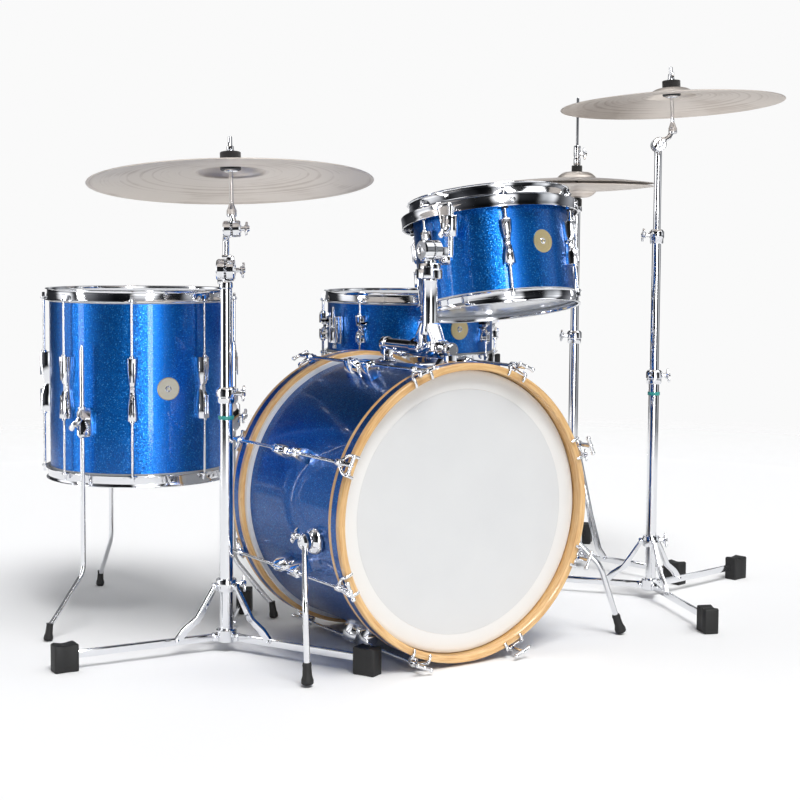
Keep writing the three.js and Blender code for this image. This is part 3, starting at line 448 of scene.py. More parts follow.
def bass_hoop(side, over, node):
    finish_piece(f"bass_{side}_hoop_wood", turned([(257, 164), (258.5, 162), (268.5, 162), (270, 163.5),
        (270, 172), (269.2, 172), (269.2, 189), (270, 189), (270, 198), (268.2, 200), (259, 200),
        (257, 198.4)], 160), bass_place @ over, maple, "kit", [node])
    # the inlay band takes the bass drum's darker copy of the wrap, with the same painted shade
    finish_piece(f"bass_{side}_hoop_inlay", turned([(269.4, 172.3), (270.1, 172.3), (270.1, 188.7),
        (269.4, 188.7)], 160), bass_place @ over, shaded_wrap, "kit")

    claws = bmesh.new()
    boss = turned([(0, 176), (5.5, 176), (6.8, 178), (6.8, 190), (5, 193), (0, 193)], 24)
    arm = bar([(281, 3, 185), (277.5, 11, 190), (274.6, 17, 196), (272.8, 18, 203.2), (263, 18, 203.6),
        (258.6, 18, 201.4)], 3.1, 2.5, 10)
    web = plate([(270.6, -6), (280, -9), (283, 0), (280, 9), (270.6, 6)], 180, 186.5, 1.2)
    rod = bar([(ROD_RADIUS, 0, 40), (ROD_RADIUS, 0, 176)], 3.0, sides=12)
    nut = bar([(ROD_RADIUS, 0, 40), (ROD_RADIUS, 0, 52)], 5.2, sides=14)
    stub = bar([(ROD_RADIUS, 0, 192), (ROD_RADIUS, 0, 222)], 4.2, sides=12)
    handle = bar([(ROD_RADIUS, -17.5, 222.5), (ROD_RADIUS, 17.5, 222.5)], 3.2, sides=12)
    claw = joined(
        (boss, [at(ROD_RADIUS)]),
        (arm, [Matrix(), MIRRORED]),
        web,
        rod,
        nut,
        stub,
        handle)
    ball = bmesh.new()
    bmesh.ops.create_uvsphere(ball, u_segments=14, v_segments=8, radius=4.4)
    put(claw, ball, [at(ROD_RADIUS, y, 222.5) for y in (-15, 0, 15)])
    put(claws, claw, round_the_axis(BASS_LUGS, BASS_PHASE))
    finish_piece(f"bass_{side}_claws", claws, bass_place @ over, chrome, "kit")


bass_hoop("front", Matrix(), "bass_front_hoop")
bass_hoop("rear", FLIPPED, "bass_rear_hoop")

# ---------------------------------------------------------------- bass drum spurs
# Two steel legs that fold against the shell. Each turns in a domed chrome casting, is locked by a wing bolt, and
# ends in a black rubber tip.

# Moulded rubber: carbon black, matt, with the faint orange peel of its mould.
rubber, tree, shader, spot = new_finish("moulded_rubber", "rubber")
peel = add_node(tree, "TexNoise", {"Vector": spot, "Scale": 900, "Detail": 3})
bump = add_node(tree, "Bump", {"Height": peel.outputs[0], "Strength": 0.25, "Distance": 0.0004})
scuffs = add_node(tree, "TexNoise", {"Vector": spot, "Scale": 60})
wear = add_node(tree, "ValToRGB", {0: scuffs.outputs[0]})
set_stops(wear, (0, "#0c0c0c"), (1, "#1d1d1e"))
feed(shader, {"Base Color": wear.outputs[0], "Normal": bump.outputs[0], "Roughness": 0.62})


def wing_bolt(reach=20, spread=17):
    """A cast wing bolt, drawn from the face that it screws into and standing out along X."""
    wing = plate([(0, -3.4), (4.5, -5), (spread * 0.62, -4.6), (spread, -2), (spread * 0.98, 4.6),
        (spread * 0.75, 8.4), (spread * 0.45, 6.2), (3.5, 3.8), (0, 3.4)], -2.1, 2.1, 1.1)
    return joined(
        bar([(-3, 0, 0), (reach * 0.55, 0, 0)], 4.2, sides=14),
        (turned([(0, 0), (6.4, 0.6), (7.4, 3), (6.2, 7), (4.4, 10), (0, 10.4)], 20),
            [at(reach * 0.42) @ about(90, "Y")]),
        (wing, [about(turn, "X") @ at(reach * 0.72) @ about(90, "Y") @ about(90) for turn in (35, 215)]))


def spur(name, side, knee, foot, node, body):
    face = side * 269.5
    dome = turned([(0, 0), (24, 0), (24.5, 3), (23, 8), (19, 13.5), (12, 17), (0, 18)], 48)
    finish_piece(name + "_seat", joined(
        (dome, [at(side * 252, -92, 234) @ about(side * 90, "Y")])),
        set_at(), chrome, "kit")
    collar = turned([(0, 0), (15.5, 0), (16.5, 2), (16, 9), (12, 13), (0, 14)], 36)
    knee, foot = Vector(knee), Vector(foot)
    shin = (knee - foot).normalized()
    ankle = foot + shin * 38
    finish_piece(name + "_leg", joined(
        (collar, [at(face + side * 0.6, -92, 234) @ about(side * 90, "Y")]),
        bar([(face + side * 8, -96, 230), knee, ankle], 5.4, 14, 16),
        (wing_bolt(14, 15), [at(face + side * 9, -80, 243) @ about(118) @ about(90, "X")])),
        set_at(), chrome, body, [node])
    place = Matrix.Translation(foot) @ shin.to_track_quat("Z", "Y").to_matrix().to_4x4()
    finish_piece(name + "_tip", joined(
        (turned([(0, 4), (8.5, 4), (10.6, 6.5), (10.8, 12), (8.4, 20), (7.6, 34), (8.2, 38), (7, 42),
            (0, 42)], 28), [place])),
        set_at(), rubber, body)


spur("spur_left", -1, (-316, -166, 140), (-314, -171, 0), "bass_spur_left", "spur_left")
spur("spur_right", 1, (346, -155, 137), (392, -168, 0), "bass_spur_right", "spur_right")

# ---------------------------------------------------------------- tom holder
# A chrome rail stands on the bass drum on two straps. A flared clamp grips it with a T-handle and holds a post in
# a sleeve; a toothed ratchet on the post carries the L-shaped rod that the tom hangs on.
RAIL_HEIGHT = 565
rail = joined(
    (turned([(0, 0), (9, 0), (11, 2), (11, 229), (9, 231), (0, 231)], 32),
        [at(0, -145, RAIL_HEIGHT) @ about(-90, "X")]))
for y in (-136, 77):
    put(rail, turned([(11.2, -7), (13.4, -7), (14, -6), (14, 6), (13.4, 7), (11.2, 7)], 32),
        [at(0, y, RAIL_HEIGHT) @ about(-90, "X")])
    put(rail, block(-10, 10, -8, 8, 530.6, 556, 1.6), [at(0, y)])
    put(rail, block(-19, 19, -9.5, 9.5, 530.4, 535, 1.8), [at(0, y)])
    put(rail, turned([(0, 0), (4, 0), (4, 2.6), (0, 3.4)], 6), [at(x, y, 534.6) for x in (-14.5, 14.5)])
finish_piece("tom_rail_tube", rail, set_at(), chrome, "kit", ["tom_rail"])

clamp_at = at(0, -70, RAIL_HEIGHT)
clamp = bmesh.new()
lie = clamp_at @ UPRIGHT
for side in (-1, 1):
    leg_plate = plate([(side * 10, -15), (side * 42, -15), (side * 47, -9), (side * 46, 7), (side * 34, 16),
        (side * 15, 47), (side * 3, 47)] [::side], -13, 13, 3.2)
    put(clamp, leg_plate, [lie])
    put(clamp, turned([(11.4, -14), (15.6, -14), (17.2, -12), (17.2, 12), (15.6, 14), (11.4, 14)], 36),
        [at(0, -70 + side * 34, RAIL_HEIGHT) @ about(-90, "X")])
put(clamp, turned([(11.4, 24), (16, 24), (17.5, 27), (14.2, 44), (13.9, 120), (15.4, 124), (15.4, 127),
    (11.4, 127)], 36), [clamp_at])
put(clamp, turned([(11.4, 127), (22, 127), (25.6, 129), (25.6, 143), (24, 145.5), (22, 146.6), (22, 153),
    (20, 156), (11.4, 157)], 40), [clamp_at])
put(clamp, block(14, 34, -9, 9, 129, 150, 2.2), [clamp_at @ about(230)])
put(clamp, bar([(-12, -104, 567), (-35, -104, 567)], 5.2, sides=16))
put(clamp, turned([(0, 0), (12, 0), (14, 3), (13, 9), (9, 13), (0, 14)], 28),
    [at(-17, -104, 566) @ about(-90, "Y")])
grip = bar([(-36, -122.5, 572.5), (-36, -85.5, 560.5)], 4.2, sides=14)
put(clamp, grip)
knob = bmesh.new()
bmesh.ops.create_uvsphere(knob, u_segments=16, v_segments=10, radius=5)
put(clamp, knob, [Matrix.Translation(p) for p in ((-36, -119, 571.3), (-36, -104, 566.5), (-36, -89, 561.7))])
finish_piece("tom_post_clamp_casting", clamp, set_at(), chrome, "tom_clamp", ["tom_post_clamp"])


def toothed_disc(radius, thick, teeth=28):
    """A ratchet disc: a turned hub with a ring of small radial teeth on its inner face."""
    disc = turned([(0, 0), (radius - 2, 0), (radius, 1.5), (radius, thick - 2.5), (radius - 2.5, thick),
        (radius * 0.55, thick), (radius * 0.5, thick - 2), (radius * 0.3, thick - 2),
        (radius * 0.26, thick + 0.5), (0, thick + 1)], 48)
    tooth = block(radius * 0.62, radius - 0.6, -0.7, 0.7, -0.8, 0.4, 0)
    return joined(
        disc,
        (tooth, round_the_axis(teeth)))


finish_piece("tom_post_tube", joined(
    (turned([(0, 42), (9.5, 42), (11, 44), (11, 160), (9, 162.5), (0, 162.5)], 32), [clamp_at]),
    block(-17, -1.2, -80, -60, 724, 748, 2.4),
    (toothed_disc(19, 19), [at(-1.4, -70, 745) @ about(-90, "Y")])),
    set_at(), chrome, "tom_post_body", ["tom_post"])

finish_piece("tom_arm_rod", joined(
    (toothed_disc(19, 16), [at(1.4, -70, 745) @ about(90, "Y")]),
    block(15, 35, -79, -57, 731, 751, 3),
    (turned([(0, 0), (9, 0), (10.5, 2), (10.5, 14), (9, 16), (0, 16)], 28),
        [at(28, -64, 728) @ about(63) @ about(90, "X")]),
    bar([(26, -66.5, 727), (61, -48, 727), (61, -48, 826)], 5.9, 12, 20),
    (wing_bolt(14, 14), [at(25, -57, 741) @ about(90)])),
    set_at(), chrome, "tom_arm_body", ["tom_arm"])

# ---------------------------------------------------------------- rack tom, floor tom and snare drum
# Maple shells in the same wrap. On each, chrome lugs stand round the middle, tension rods run from them to
# triple-flanged steel hoops, and the upper film is coated white while the lower one is clear.

# Clear film: polyester under even tension, faintly milky; its pale grey is painted reflection, the light of the
# room drawn into its colour.
clear_film, tree, shader, spot = new_finish("clear_polyester", "clear_head")
milk_and_reflection = add_node(tree, "TexNoise", {"Vector": spot, "Scale": 12, "Detail": 2})
tint = add_node(tree, "ValToRGB", {0: milk_and_reflection.outputs[0]})
set_stops(tint, (0, "#b6babd"), (1, "#cfd2d4"))
feed(shader, {"Base Color": tint.outputs[0], "Roughness": 0.22, "Coat Weight": 0.5})

# Badge enamel: cream paint baked on brass, slightly yellowed.
enamel, tree, shader, spot = new_finish("cream_enamel", "badge")
stains = add_node(tree, "TexNoise", {"Vector": spot, "Scale": 150, "Detail": 4})
age = add_node(tree, "ValToRGB", {0: stains.outputs[0]})
set_stops(age, (0, "#efe6cc"), (1, "#fbf6e6"))
feed(shader, {"Base Color": age.outputs[0], "Roughness": 0.35})

# Badge brass: stamped and lacquered, with a soft gold tone that is duller in its low spots.
brass, tree, shader, spot = new_finish("stamped_brass", "badge")
dull = add_node(tree, "TexNoise", {"Vector": spot, "Scale": 220, "Detail": 3})
matt = add_node(tree, "MapRange", {0: dull.outputs[0], 3: 0.25, 4: 0.45})
feed(shader, {"Roughness": matt.outputs[0], "Base Color": linear("#dccb9c"), "Metallic": 0.9})


def badge(name, place, radius, degrees, face_finish, body):
    """A round badge, set flat against the shell, with two raised rings and a chrome vent in its middle."""
    spot = place @ about(degrees) @ at(radius - 1.1) @ about(90, "Y")
    finish_piece(name + "_badge_face", turned([(0, 0), (20.4, 0), (20.4, 1.7), (15.4, 1.8), (15.2, 2.1),
        (14.2, 2.1), (14, 1.8), (7.6, 1.9), (0, 1.9)], 64), spot, face_finish, body)
    finish_piece(name + "_badge_rim", turned([(20.5, 0), (22, 0), (22.2, 1.4), (21.6, 2.2), (20.8, 2.2),
        (20.5, 1.8)], 64), spot, brass, body)
    finish_piece(name + "_vent", turned([(2.8, -2), (2.8, 2.4), (3.6, 3.2), (5.2, 3.2), (6.4, 2.2),
        (6.4, 1.9), (3, -2)], 32), spot, chrome, body)


def flanged_hoop(radius, half, lug_half, count, first):
    """A steel hoop with its flanges, its ears, and the tension rods that draw it down, for the upper end."""
    seat = half + 1.6
    low, rim, rod_at = seat - 12, seat + 11, radius + 12.5
    hoop = turned([(radius + out, z) for out, z in ((3.4, low), (9.4, low), (9.6, low + 1), (9, low + 2),
        (6.2, low + 2.3), (5.5, low + 3.4), (5.5, seat - 1.4), (4.6, seat + 0.6), (4.4, seat + 8),
        (5.2, seat + 9.4), (7.6, seat + 9.2), (8.4, seat + 9.9), (8.2, rim - 0.3), (7.4, rim), (4.2, rim),
        (2.8, rim - 1), (2.2, seat + 7), (2.2, seat + 1), (3.3, seat - 0.6))], 144)
    fitting = joined(
        plate([(radius + 4, -11), (rod_at - 3, -9), (rod_at + 3, -6.4), (rod_at + 5, 0), (rod_at + 3, 6.4),
            (rod_at - 3, 9), (radius + 4, 11)], low, low + 2.6, 0.7),
        (bar([(0, 0, low + 3), (0, 0, lug_half + 0.5)], 2.6, sides=12), [at(rod_at)]),
        (turned([(0, low + 2.6), (6.3, low + 2.6), (6.3, low + 4), (4.8, low + 4.2), (4.8, low + 6),
            (0, low + 6)], 24), [at(rod_at)]),
        (turned([(0, low + 6), (4, low + 6), (4, low + 13), (3.2, low + 14), (0, low + 14)], 4),
            [at(rod_at) @ about(45)]))
    put(hoop, fitting, round_the_axis(count, first))
    return hoop


def metal_drum(name, place, radius, depth, count, first, lug_length, body):
    half = depth / 2
    finish_piece(name + "_shell_ply", turned([(radius - 6, 4 - half), (radius - 3, -half),
        (radius - 0.8, 2 - half), (radius - 0.8, half - 2), (radius - 3, half), (radius - 6, half - 4)]),
        place, maple, body)
    finish_piece(name + "_shell_wrap", turned([(radius - 0.7, 2 - half), (radius, 2.4 - half),
        (radius, half - 2.4), (radius - 0.7, half - 2)], 144), place, sparkle_wrap, body, [name + "_shell"])
    nut = turned([(0, 0), (5.2, 0), (5.2, 5), (4.4, 6), (0, 6)], 20)
    ends = [at(radius + 12.5, 0, lug_length / 2 - 2), FLIPPED @ at(radius + 12.5, 0, lug_length / 2 - 2)]
    finish_piece(name + "_lugs", joined(
        (bow_tie_lug(lug_length, 24, 19), [turn @ at(radius) @ UPRIGHT for turn in round_the_axis(count,
            first)]),
        (nut, [turn @ end for turn in round_the_axis(count, first) for end in ends])),
        place, chrome, body)
    film_profile = [(0, half + 1.2), (radius - 6, half + 1.2), (radius - 1, half + 1.1),
        (radius + 1.4, half - 0.2), (radius + 1.9, half - 3), (radius + 1.9, half - 13.4),
        (radius + 0.7, half - 13.4), (radius + 0.7, half - 3), (radius - 1.6, half + 0.2), (0, half + 0.3)]
    for side, over, finish, node in (("batter", Matrix(), coated_film, "top"),
                                     ("resonant", FLIPPED, clear_film, "bottom")):
        finish_piece(f"{name}_{side}_film", turned(film_profile, 144), place @ over, finish, body,
            [f"{name}_{side}_head"])
        # the lower hoop's rods have to meet the same lugs, so its own turn runs the other way
        hoop = flanged_hoop(radius, half, lug_length / 2, count, first if side == "batter" else -first)
        finish_piece(f"{name}_{node}_hoop_steel", hoop, place @ over, chrome, body, [f"{name}_{node}_hoop"])


# where the drums stand, from the middle of the bass drum
TOM_AT, FLOOR_AT, SNARE_AT = (223, 38), (-330, 489), (255, 383)
tom_place = set_at(*TOM_AT, 735.5, tip=-10.6)
floor_place = set_at(*FLOOR_AT, 474)
snare_place = set_at(*SNARE_AT, 580)
metal_drum("tom", tom_place, 152, 202, 6, 3.6, 84, "tom")
metal_drum("floor_tom", floor_place, 178, 354, 8, 16.9, 120, "kit")
metal_drum("snare", snare_place, 178, 127, 8, 23.6, 56, "snare")
badge("tom", tom_place, 152, 272, brass, "tom")
badge("floor_tom", floor_place, 178, 264, enamel, "kit")
badge("snare", snare_place, 178, 272, brass, "snare")

# ---------------------------------------------------------------- suspension ring of the tom
# A chrome band that hangs the tom from its upper tension rods by rubber grommets, so that the shell rings free.
# One cast bracket curves down from it and clamps the L-shaped rod.
tab = plate([(158.5, -8), (163, -10), (172, -11), (172, 11), (163, 10), (158.5, 8)], 65, 68.6, 0.7)
grommet_screw = turned([(0, 0), (5, 0), (5.4, 1), (4, 3), (0, 3.4)], 24)
held = [3.6 + 60 * i for i in range(6) if i != 3]
hanger = joined(
    turned([(171.2, 66), (172.6, 65), (174.4, 65.4), (174.5, 68), (174, 70), (174, 82), (174.5, 84),
        (174.4, 86.6), (172.6, 87), (171.2, 86)], 144),
    (tab, [about(d) for d in held]),
    (grommet_screw, [about(d + 5) @ at(174.2, 0, 76) @ about(90, "Y") for d in held]),
    (cast([(-16, -6), (16, -6), (17, 2), (12, 7), (-12, 7), (-17, 2)], [(0, 0.9, 0.8), (7, 1.0, 1.0),
        (24, 0.82, 1.0), (40, 0.7, 1.1), (52, 0.78, 0.9)], 1.2), [about(205) @ at(174, 0, 84)
        @ about(-90, "X") @ about(90, "Y")]))
finish_piece("tom_suspension_band", joined(
    (hanger, [set_at().inverted() @ tom_place]),
    (turned([(6.6, 770), (11, 770), (12.5, 772), (12.5, 808), (11, 810), (6.6, 810)], 32), [at(61, -48)]),
    block(52, 72, -40, -26, 771, 810, 2.4),
    (wing_bolt(15, 15), [at(61, -48, 780) @ about(200) @ at(11)])),
    set_at(), chrome, "tom", ["tom_suspension_ring"])
finish_piece("tom_grommets", joined(
    (turned([(3.3, 63), (6.6, 63), (7.2, 64), (7.2, 64.8), (5.4, 65), (5.4, 69), (7.2, 69.2), (7.2, 71),
        (6.4, 72), (3.3, 72)], 28), [about(d) @ at(164.5) for d in held]),
    (block(153.5, 171, -7, 7, 72, 84, 2), [about(d + 14) for d in held])),
    tom_place, rubber, "tom")

# ---------------------------------------------------------------- floor tom legs
# Three steel legs slide in eight-sided castings on the shell, each locked by a wing screw. They bend in below
# the drum and stand on rubber tips.
LEG_BEARINGS = (212.5, 84.7, 317.9)
casting = cast([(-15, -3), (15, -3), (15, 12), (9, 22), (4, 31), (-4, 31), (-9, 22), (-15, 12)],
    [(-29, 0.6, 0.8), (-22, 1, 1), (22, 1, 1), (29, 0.6, 0.8)], 1.2)
finish_piece("floor_tom_leg_brackets", joined(
    (casting, [about(d) @ at(178, 0, -65) @ UPRIGHT for d in LEG_BEARINGS]),
    (wing_bolt(16, 17), [about(d) @ at(207, 0, -65) for d in LEG_BEARINGS]),
    (turned([(5.3, -39), (8, -39), (8.6, -37), (8.6, -34), (5.3, -33)], 24),
        [about(d) @ at(196) for d in LEG_BEARINGS])),
    floor_place, chrome, "kit")
floor_tom_axis = Vector((*FLOOR_AT, 0))
for number, (top_angle, foot_angle) in enumerate(zip(LEG_BEARINGS, (207.8, 84.7, 317.9)), 1):
    top = floor_tom_axis + about(top_angle) @ Vector((196, 0, 0))
    foot = floor_tom_axis + about(foot_angle) @ Vector((280, 0, 0))
    finish_piece(f"floor_tom_leg_{number}_rod", joined(
        bar([top + Vector((0, 0, 549)), top + Vector((0, 0, 120)), foot.lerp(top,
            0.25) + Vector((0, 0, 46)), foot.lerp(top, 0.05) + Vector((0, 0, 28))], 4.9, 16, 16),
        (turned([(0, 547), (4.9, 547), (4.9, 549), (1.6, 559.6), (0, 560)], 24),
            [Matrix.Translation(top)])),
        set_at(), chrome, f"floor_leg_{number}", [f"floor_tom_leg_{number}"])
    slant = (foot.lerp(top, 0.06) + Vector((0, 0, 34)) - foot).normalized()
    finish_piece(f"floor_tom_leg_{number}_tip", joined(
        (turned([(0, 1.6), (7.4, 1.6), (8.8, 3.4), (8.8, 9), (7, 15), (6.3, 30), (7, 34), (0, 34)], 28),
            [Matrix.Translation(foot) @ slant.to_track_quat("Z", "Y").to_matrix().to_4x4()])),
        set_at(), rubber, f"floor_leg_{number}")

# ---------------------------------------------------------------- snare strainer and wires
# The strainer's lever tightens twenty coiled wires against the lower film; a butt plate holds their other end.
finish_piece("snare_strainer_casting", joined(
    block(178.2, 188, -15, 15, -34, 24, 2),
    block(187, 198, -15, -7, -32, 22, 2),
    block(187, 198, 7, 15, -32, 22, 2),
    block(187, 197, -9, 9, -33, -8, 2),
    (turned([(0, 0), (4.6, 0), (5.4, 1.4), (5.4, 8), (4, 9.6), (0, 10)], 24), [at(190, 0, -44)])),
    snare_place @ about(181), chrome, "snare", ["snare_strainer"])
finish_piece("snare_strainer_handle", joined(
    (plate([(0, -4.4), (12, -6), (34, -5.4), (41, -4), (44, 0), (41, 4), (34, 5.4), (12, 6), (0, 4.4)], 0,
        4.4, 1.2), [at(197.4) @ about(-90, "Y")]),
    (turned([(0, -6), (3.9, -6), (3.9, 6), (0, 6)], 20), [at(193, 0, 2) @ about(90, "X")])),
    snare_place @ about(181), chrome, "strainer_lever", ["snare_strainer_lever"])
finish_piece("snare_butt_casting", joined(
    block(178.2, 187, -15, 15, -34, -8, 2),
    block(185, 194, -15, 15, -32, -24, 1.6),
    (turned([(0, 0), (3.4, 0), (3.4, 2), (0, 2.6)], 6), [at(186.8, y, -16) @ about(90, "Y")
        for y in (-9, 9)])),
    snare_place @ about(1), chrome, "snare", ["snare_butt_plate"])

# Drawn steel: bright wire with a soft grain from the die.
drawn_steel, tree, shader, spot = new_finish("drawn_steel", "steel_wire")
die = add_node(tree, "TexNoise", {"Vector": spot, "Scale": 400, "Detail": 2})
matt = add_node(tree, "MapRange", {0: die.outputs[0], 3: 0.25, 4: 0.42})
feed(shader, {"Roughness": matt.outputs[0], "Base Color": linear("#bfc2c6"), "Metallic": 1.0})
wire = bar([(-143, 0, 0), (143, 0, 0)], 0.75, sides=8)
finish_piece("snare_wire_strands", joined(
    (wire, [at(0, -19 + 2 * i, -66) for i in range(20)]),
    (block(-150, -140, -21, 21, -66.7, -65.2, 0), [Matrix(), about(180)])),
    snare_place @ about(181), drawn_steel, "snare", ["snare_wires"])

# ---------------------------------------------------------------- tripod bases
# Chrome tubes on three flat steel bars, riveted to a hub and stayed by bent straps. The bars end in black
# rubber blocks. Cast collars with wing bolts lock the straps and the next tube up.


def tripod(name, x, y, tube, inner, reach, first, top, strap_z, bolts, node, hub=19, low=20):
    axis = set_at(x, y)
    base = joined(
        turned([(inner + 0.4, low), (tube, low), (tube, top), (inner + 0.4, top)], 48),
        turned([(inner + 0.4, top - 6), (tube + 3, top - 6), (tube + 4.4, top - 4), (tube + 4.4, top + 5),
            (tube + 6, top + 7), (tube + 6, top + 19), (tube + 4.6, top + 21), (tube + 2, top + 24),
            (inner + 0.4, top + 24)], 40),
        turned([(tube - 0.5, strap_z - 12), (tube + 6, strap_z - 12), (tube + 7, strap_z - 10),
            (tube + 7, strap_z + 8), (tube + 6, strap_z + 10), (tube - 0.5, strap_z + 10)], 40),
        turned([(tube - 0.5, 18), (hub - 2, 18), (hub, 20), (hub, 40), (hub - 2, 42), (tube - 0.5, 42)],
            40))
    rise = strap_z - 28
    strap = plate([(tube + 6, strap_z + 4), (tube + 13, strap_z + 1), (61, 28 + rise * 0.42), (86, 52),
        (104, 31), (92, 24), (74, 45), (50, 28 + rise * 0.36), (tube + 8, strap_z - 8)], -3.6, 3.6, 1)
    rivet = turned([(0, -7), (2.2, -6.8), (3.6, -5.8), (3.6, 5.8), (2.2, 6.8), (0, 7)], 16)
    leg = joined(
        block(hub - 2, reach - 14, -2.8, 2.8, 21, 35, 0.8),
        block(hub - 3, hub + 9, -5.2, 5.2, 20.4, 35.6, 1.2),
        block(tube + 3, tube + 15, -5.2, 5.2, strap_z - 8, strap_z + 4, 1.2),
        (strap, [about(90, "X")]),
        (rivet, [at(out, 0, z) @ about(90, "X") for out, z in ((hub + 4, 28), (98, 29),
            (tube + 10.5, strap_z - 2))]))
    put(base, leg, round_the_axis(3, first))
    for z, out, degrees in ((strap_z, tube + 6, bolts[0]), (top + 12, tube + 5, bolts[1])):
        put(base, wing_bolt(20, 17), [at(0, 0, z) @ about(degrees) @ at(out)])
    finish_piece(name + "_tripod", base, axis, chrome, "kit", [node])
    foot = cast([(-15, 0), (15, 0), (15, 50), (-15, 50)], [(-22, 0.93, 0.97), (-17, 1, 1), (-3, 0.92, 0.96),
        (4, 0.92, 0.96), (17, 1, 1), (22, 0.93, 0.97)], 2.2)
    finish_piece(name + "_feet", joined(
        (foot, [turn @ at(reach) @ about(-90) for turn in round_the_axis(3, first)])),
        axis, rubber, "kit")


RIDE_AT, CRASH_AT, HAT_AT = (-321, 121), (657, 46), (735, 410)
tripod("ride", *RIDE_AT, 12.5, 11, 308, 176.3, 468, 125, (-20, -33), "ride_stand_base")
tripod("crash", *CRASH_AT, 11, 9.5, 308, 9.3, 468, 125, (-33, -33), "crash_stand_base")
tripod("snare", *SNARE_AT, 11, 9, 230, 60, 288, 150, (20, 20), "snare_stand_base")
tripod("hihat", *HAT_AT, 11, 9.5, 290, 283.6, 532, 262, (330, 147), "hihat_stand_base", hub=28, low=156)

# Coloured memory rings: plain teal nylon, which marks the height that a tube is set to.
teal, tree, shader, spot = new_finish("teal_nylon", "teal_ring")
flow = add_node(tree, "TexNoise", {"Vector": spot, "Scale": 120})
moulded = add_node(tree, "ValToRGB", {0: flow.outputs[0]})
set_stops(moulded, (0, "#2b918b"), (1, "#45b3ac"))
feed(shader, {"Base Color": moulded.outputs[0], "Roughness": 0.4})
for name, x, y, tube, z in (("ride", *RIDE_AT, 12.5, 432), ("crash", *CRASH_AT, 11, 438)):
    finish_piece(name + "_memory_ring", turned([(tube + 0.1, z), (tube + 1.6, z), (tube + 2, z + 1),
        (tube + 2, z + 6), (tube + 1.6, z + 7), (tube + 0.1, z + 7)], 36), set_at(x, y), teal, "kit")

# ---------------------------------------------------------------- snare basket
# A tilting hub on the stand's post carries three channel arms. Their hooked ends, sleeved in rubber, grip the
# lower hoop of the snare drum.
finish_piece("snare_post_tube", joined(
    turned([(0, 211), (9, 211), (9, 432), (0, 432)], 32),
    block(-14, -1, -7, 7, 428, 446, 2),
    (toothed_disc(14, 14, 20), [at(-1, 0, 448) @ about(-90, "Y")])),
    set_at(*SNARE_AT), chrome, "snare_post", ["snare_stand_post"])
finish_piece("snare_basket_boss", joined(
    (toothed_disc(14, 14, 20), [at(1, 0, 448) @ about(90, "Y")]),
    block(1, 13, -7, 7, 450, 468, 2),
    turned([(0, 466), (18.6, 466), (19.8, 467.4), (19.8, 474), (18, 476), (0, 476)], 40)),
    set_at(*SNARE_AT), chrome, "snare", ["snare_basket_hub"])
for number, degrees in enumerate((194.5, 314.5, 74.5), 1):
    finish_piece(f"snare_basket_arm_{number}_channel", joined(
        (plate([(20.5, 466.2), (130, 472.2), (196, 492), (196, 503.2), (172, 503.2), (126, 482),
            (20.5, 475)], -4.8, 4.8, 1.2), [about(90, "X")])),
        set_at(*SNARE_AT, turn=degrees), chrome, f"basket_arm_{number}", [f"snare_basket_arm_{number}"])
    finish_piece(f"snare_basket_grip_{number}", joined(
        block(187.2, 197, -11, 11, 491.8, 522.4, 2.6),
        block(170, 190, -6.4, 6.4, 490.6, 503.4, 2)),
        set_at(*SNARE_AT, turn=degrees), rubber, f"basket_arm_{number}")

# ---------------------------------------------------------------- ride and crash uprights
# The ride's tube ends in a toothed clamp that turns a thinner rod; the crash's three tubes slide in one another.
# Each ends in a tilter: two toothed discs drawn together by a wing bolt, the outer one carrying the stem.


def leaning(pivot, lean_x, lean_y):
    swing = Vector((0, 0, 1)).rotation_difference(Vector((lean_x, lean_y, 1)).normalized())
    return Matrix.Translation(pivot) @ swing.to_matrix().to_4x4()


def tilter_half(degrees, side, radius=15, thick=15):
    """One disc of a tilter, standing out to a side of the pivot along its hinge."""
    return joined(
        (toothed_disc(radius, thick, 22), [about(degrees) @ at(side * 0.9) @ about(side * 90, "Y")]))


ride_lean = leaning((-327, 85, 780.5), 0.037, 0.12)
crash_lean = leaning((*CRASH_AT, 968), -0.014, 0.059)
ride_axis = at(*RIDE_AT) @ about(-33)
finish_piece("ride_upper_tube", joined(
    (turned([(0, 371), (11, 371), (11, 672), (12.6, 674), (12.6, 682), (11, 685), (0, 685)], 36),
        [at(*RIDE_AT)]),
    (block(-15, -1.4, -9, 9, 680, 702, 2.4), [ride_axis]),
    (tilter_half(0, -1, 20, 16), [ride_axis @ at(0, 0, 706)])),
    set_at(), chrome, "ride_tube", ["ride_stand_tube"])
finish_piece("ride_tilting_rod", joined(
    (tilter_half(0, 1, 20, 16), [ride_axis @ at(0, 0, 706)]),
    (block(1.4, 15, -7, 7, 712, 732, 2.4), [ride_axis]),
    (block(-7, 10, -7, 7, 727.6, 734, 2), [ride_axis]),
    (wing_bolt(20, 17), [ride_axis @ at(17, 0, 706)]),
    bar([(*RIDE_AT, 730), (*RIDE_AT, 764), ride_lean @ (about(-33) @ Vector((-8, 0, 0)))], 6, 8, 24),
    (tilter_half(-33, -1), [ride_lean])),
    set_at(), chrome, "ride_rod", ["ride_stand_rod"])

finish_piece("crash_middle_tube", joined(
    turned([(8.4, 381), (9.5, 381), (9.5, 766), (8.4, 766)], 36),
    turned([(8.4, 760), (13, 760), (14, 762), (14, 771), (15.5, 773), (15.5, 785), (14, 787), (11.4, 790),
        (8.4, 790)], 36),
    (wing_bolt(20, 17), [at(0, 0, 778) @ about(147) @ at(14.5)])),
    set_at(*CRASH_AT), chrome, "crash_tube", ["crash_stand_tube"])
finish_piece("crash_upper_tube", joined(
    bar([(*CRASH_AT, 679), (*CRASH_AT, 944), crash_lean @ (about(237) @ Vector((-8, 0, 0)))], 7.9, 8, 28),
    (tilter_half(237, -1), [crash_lean])),
    set_at(), chrome, "crash_rod", ["crash_stand_rod"])

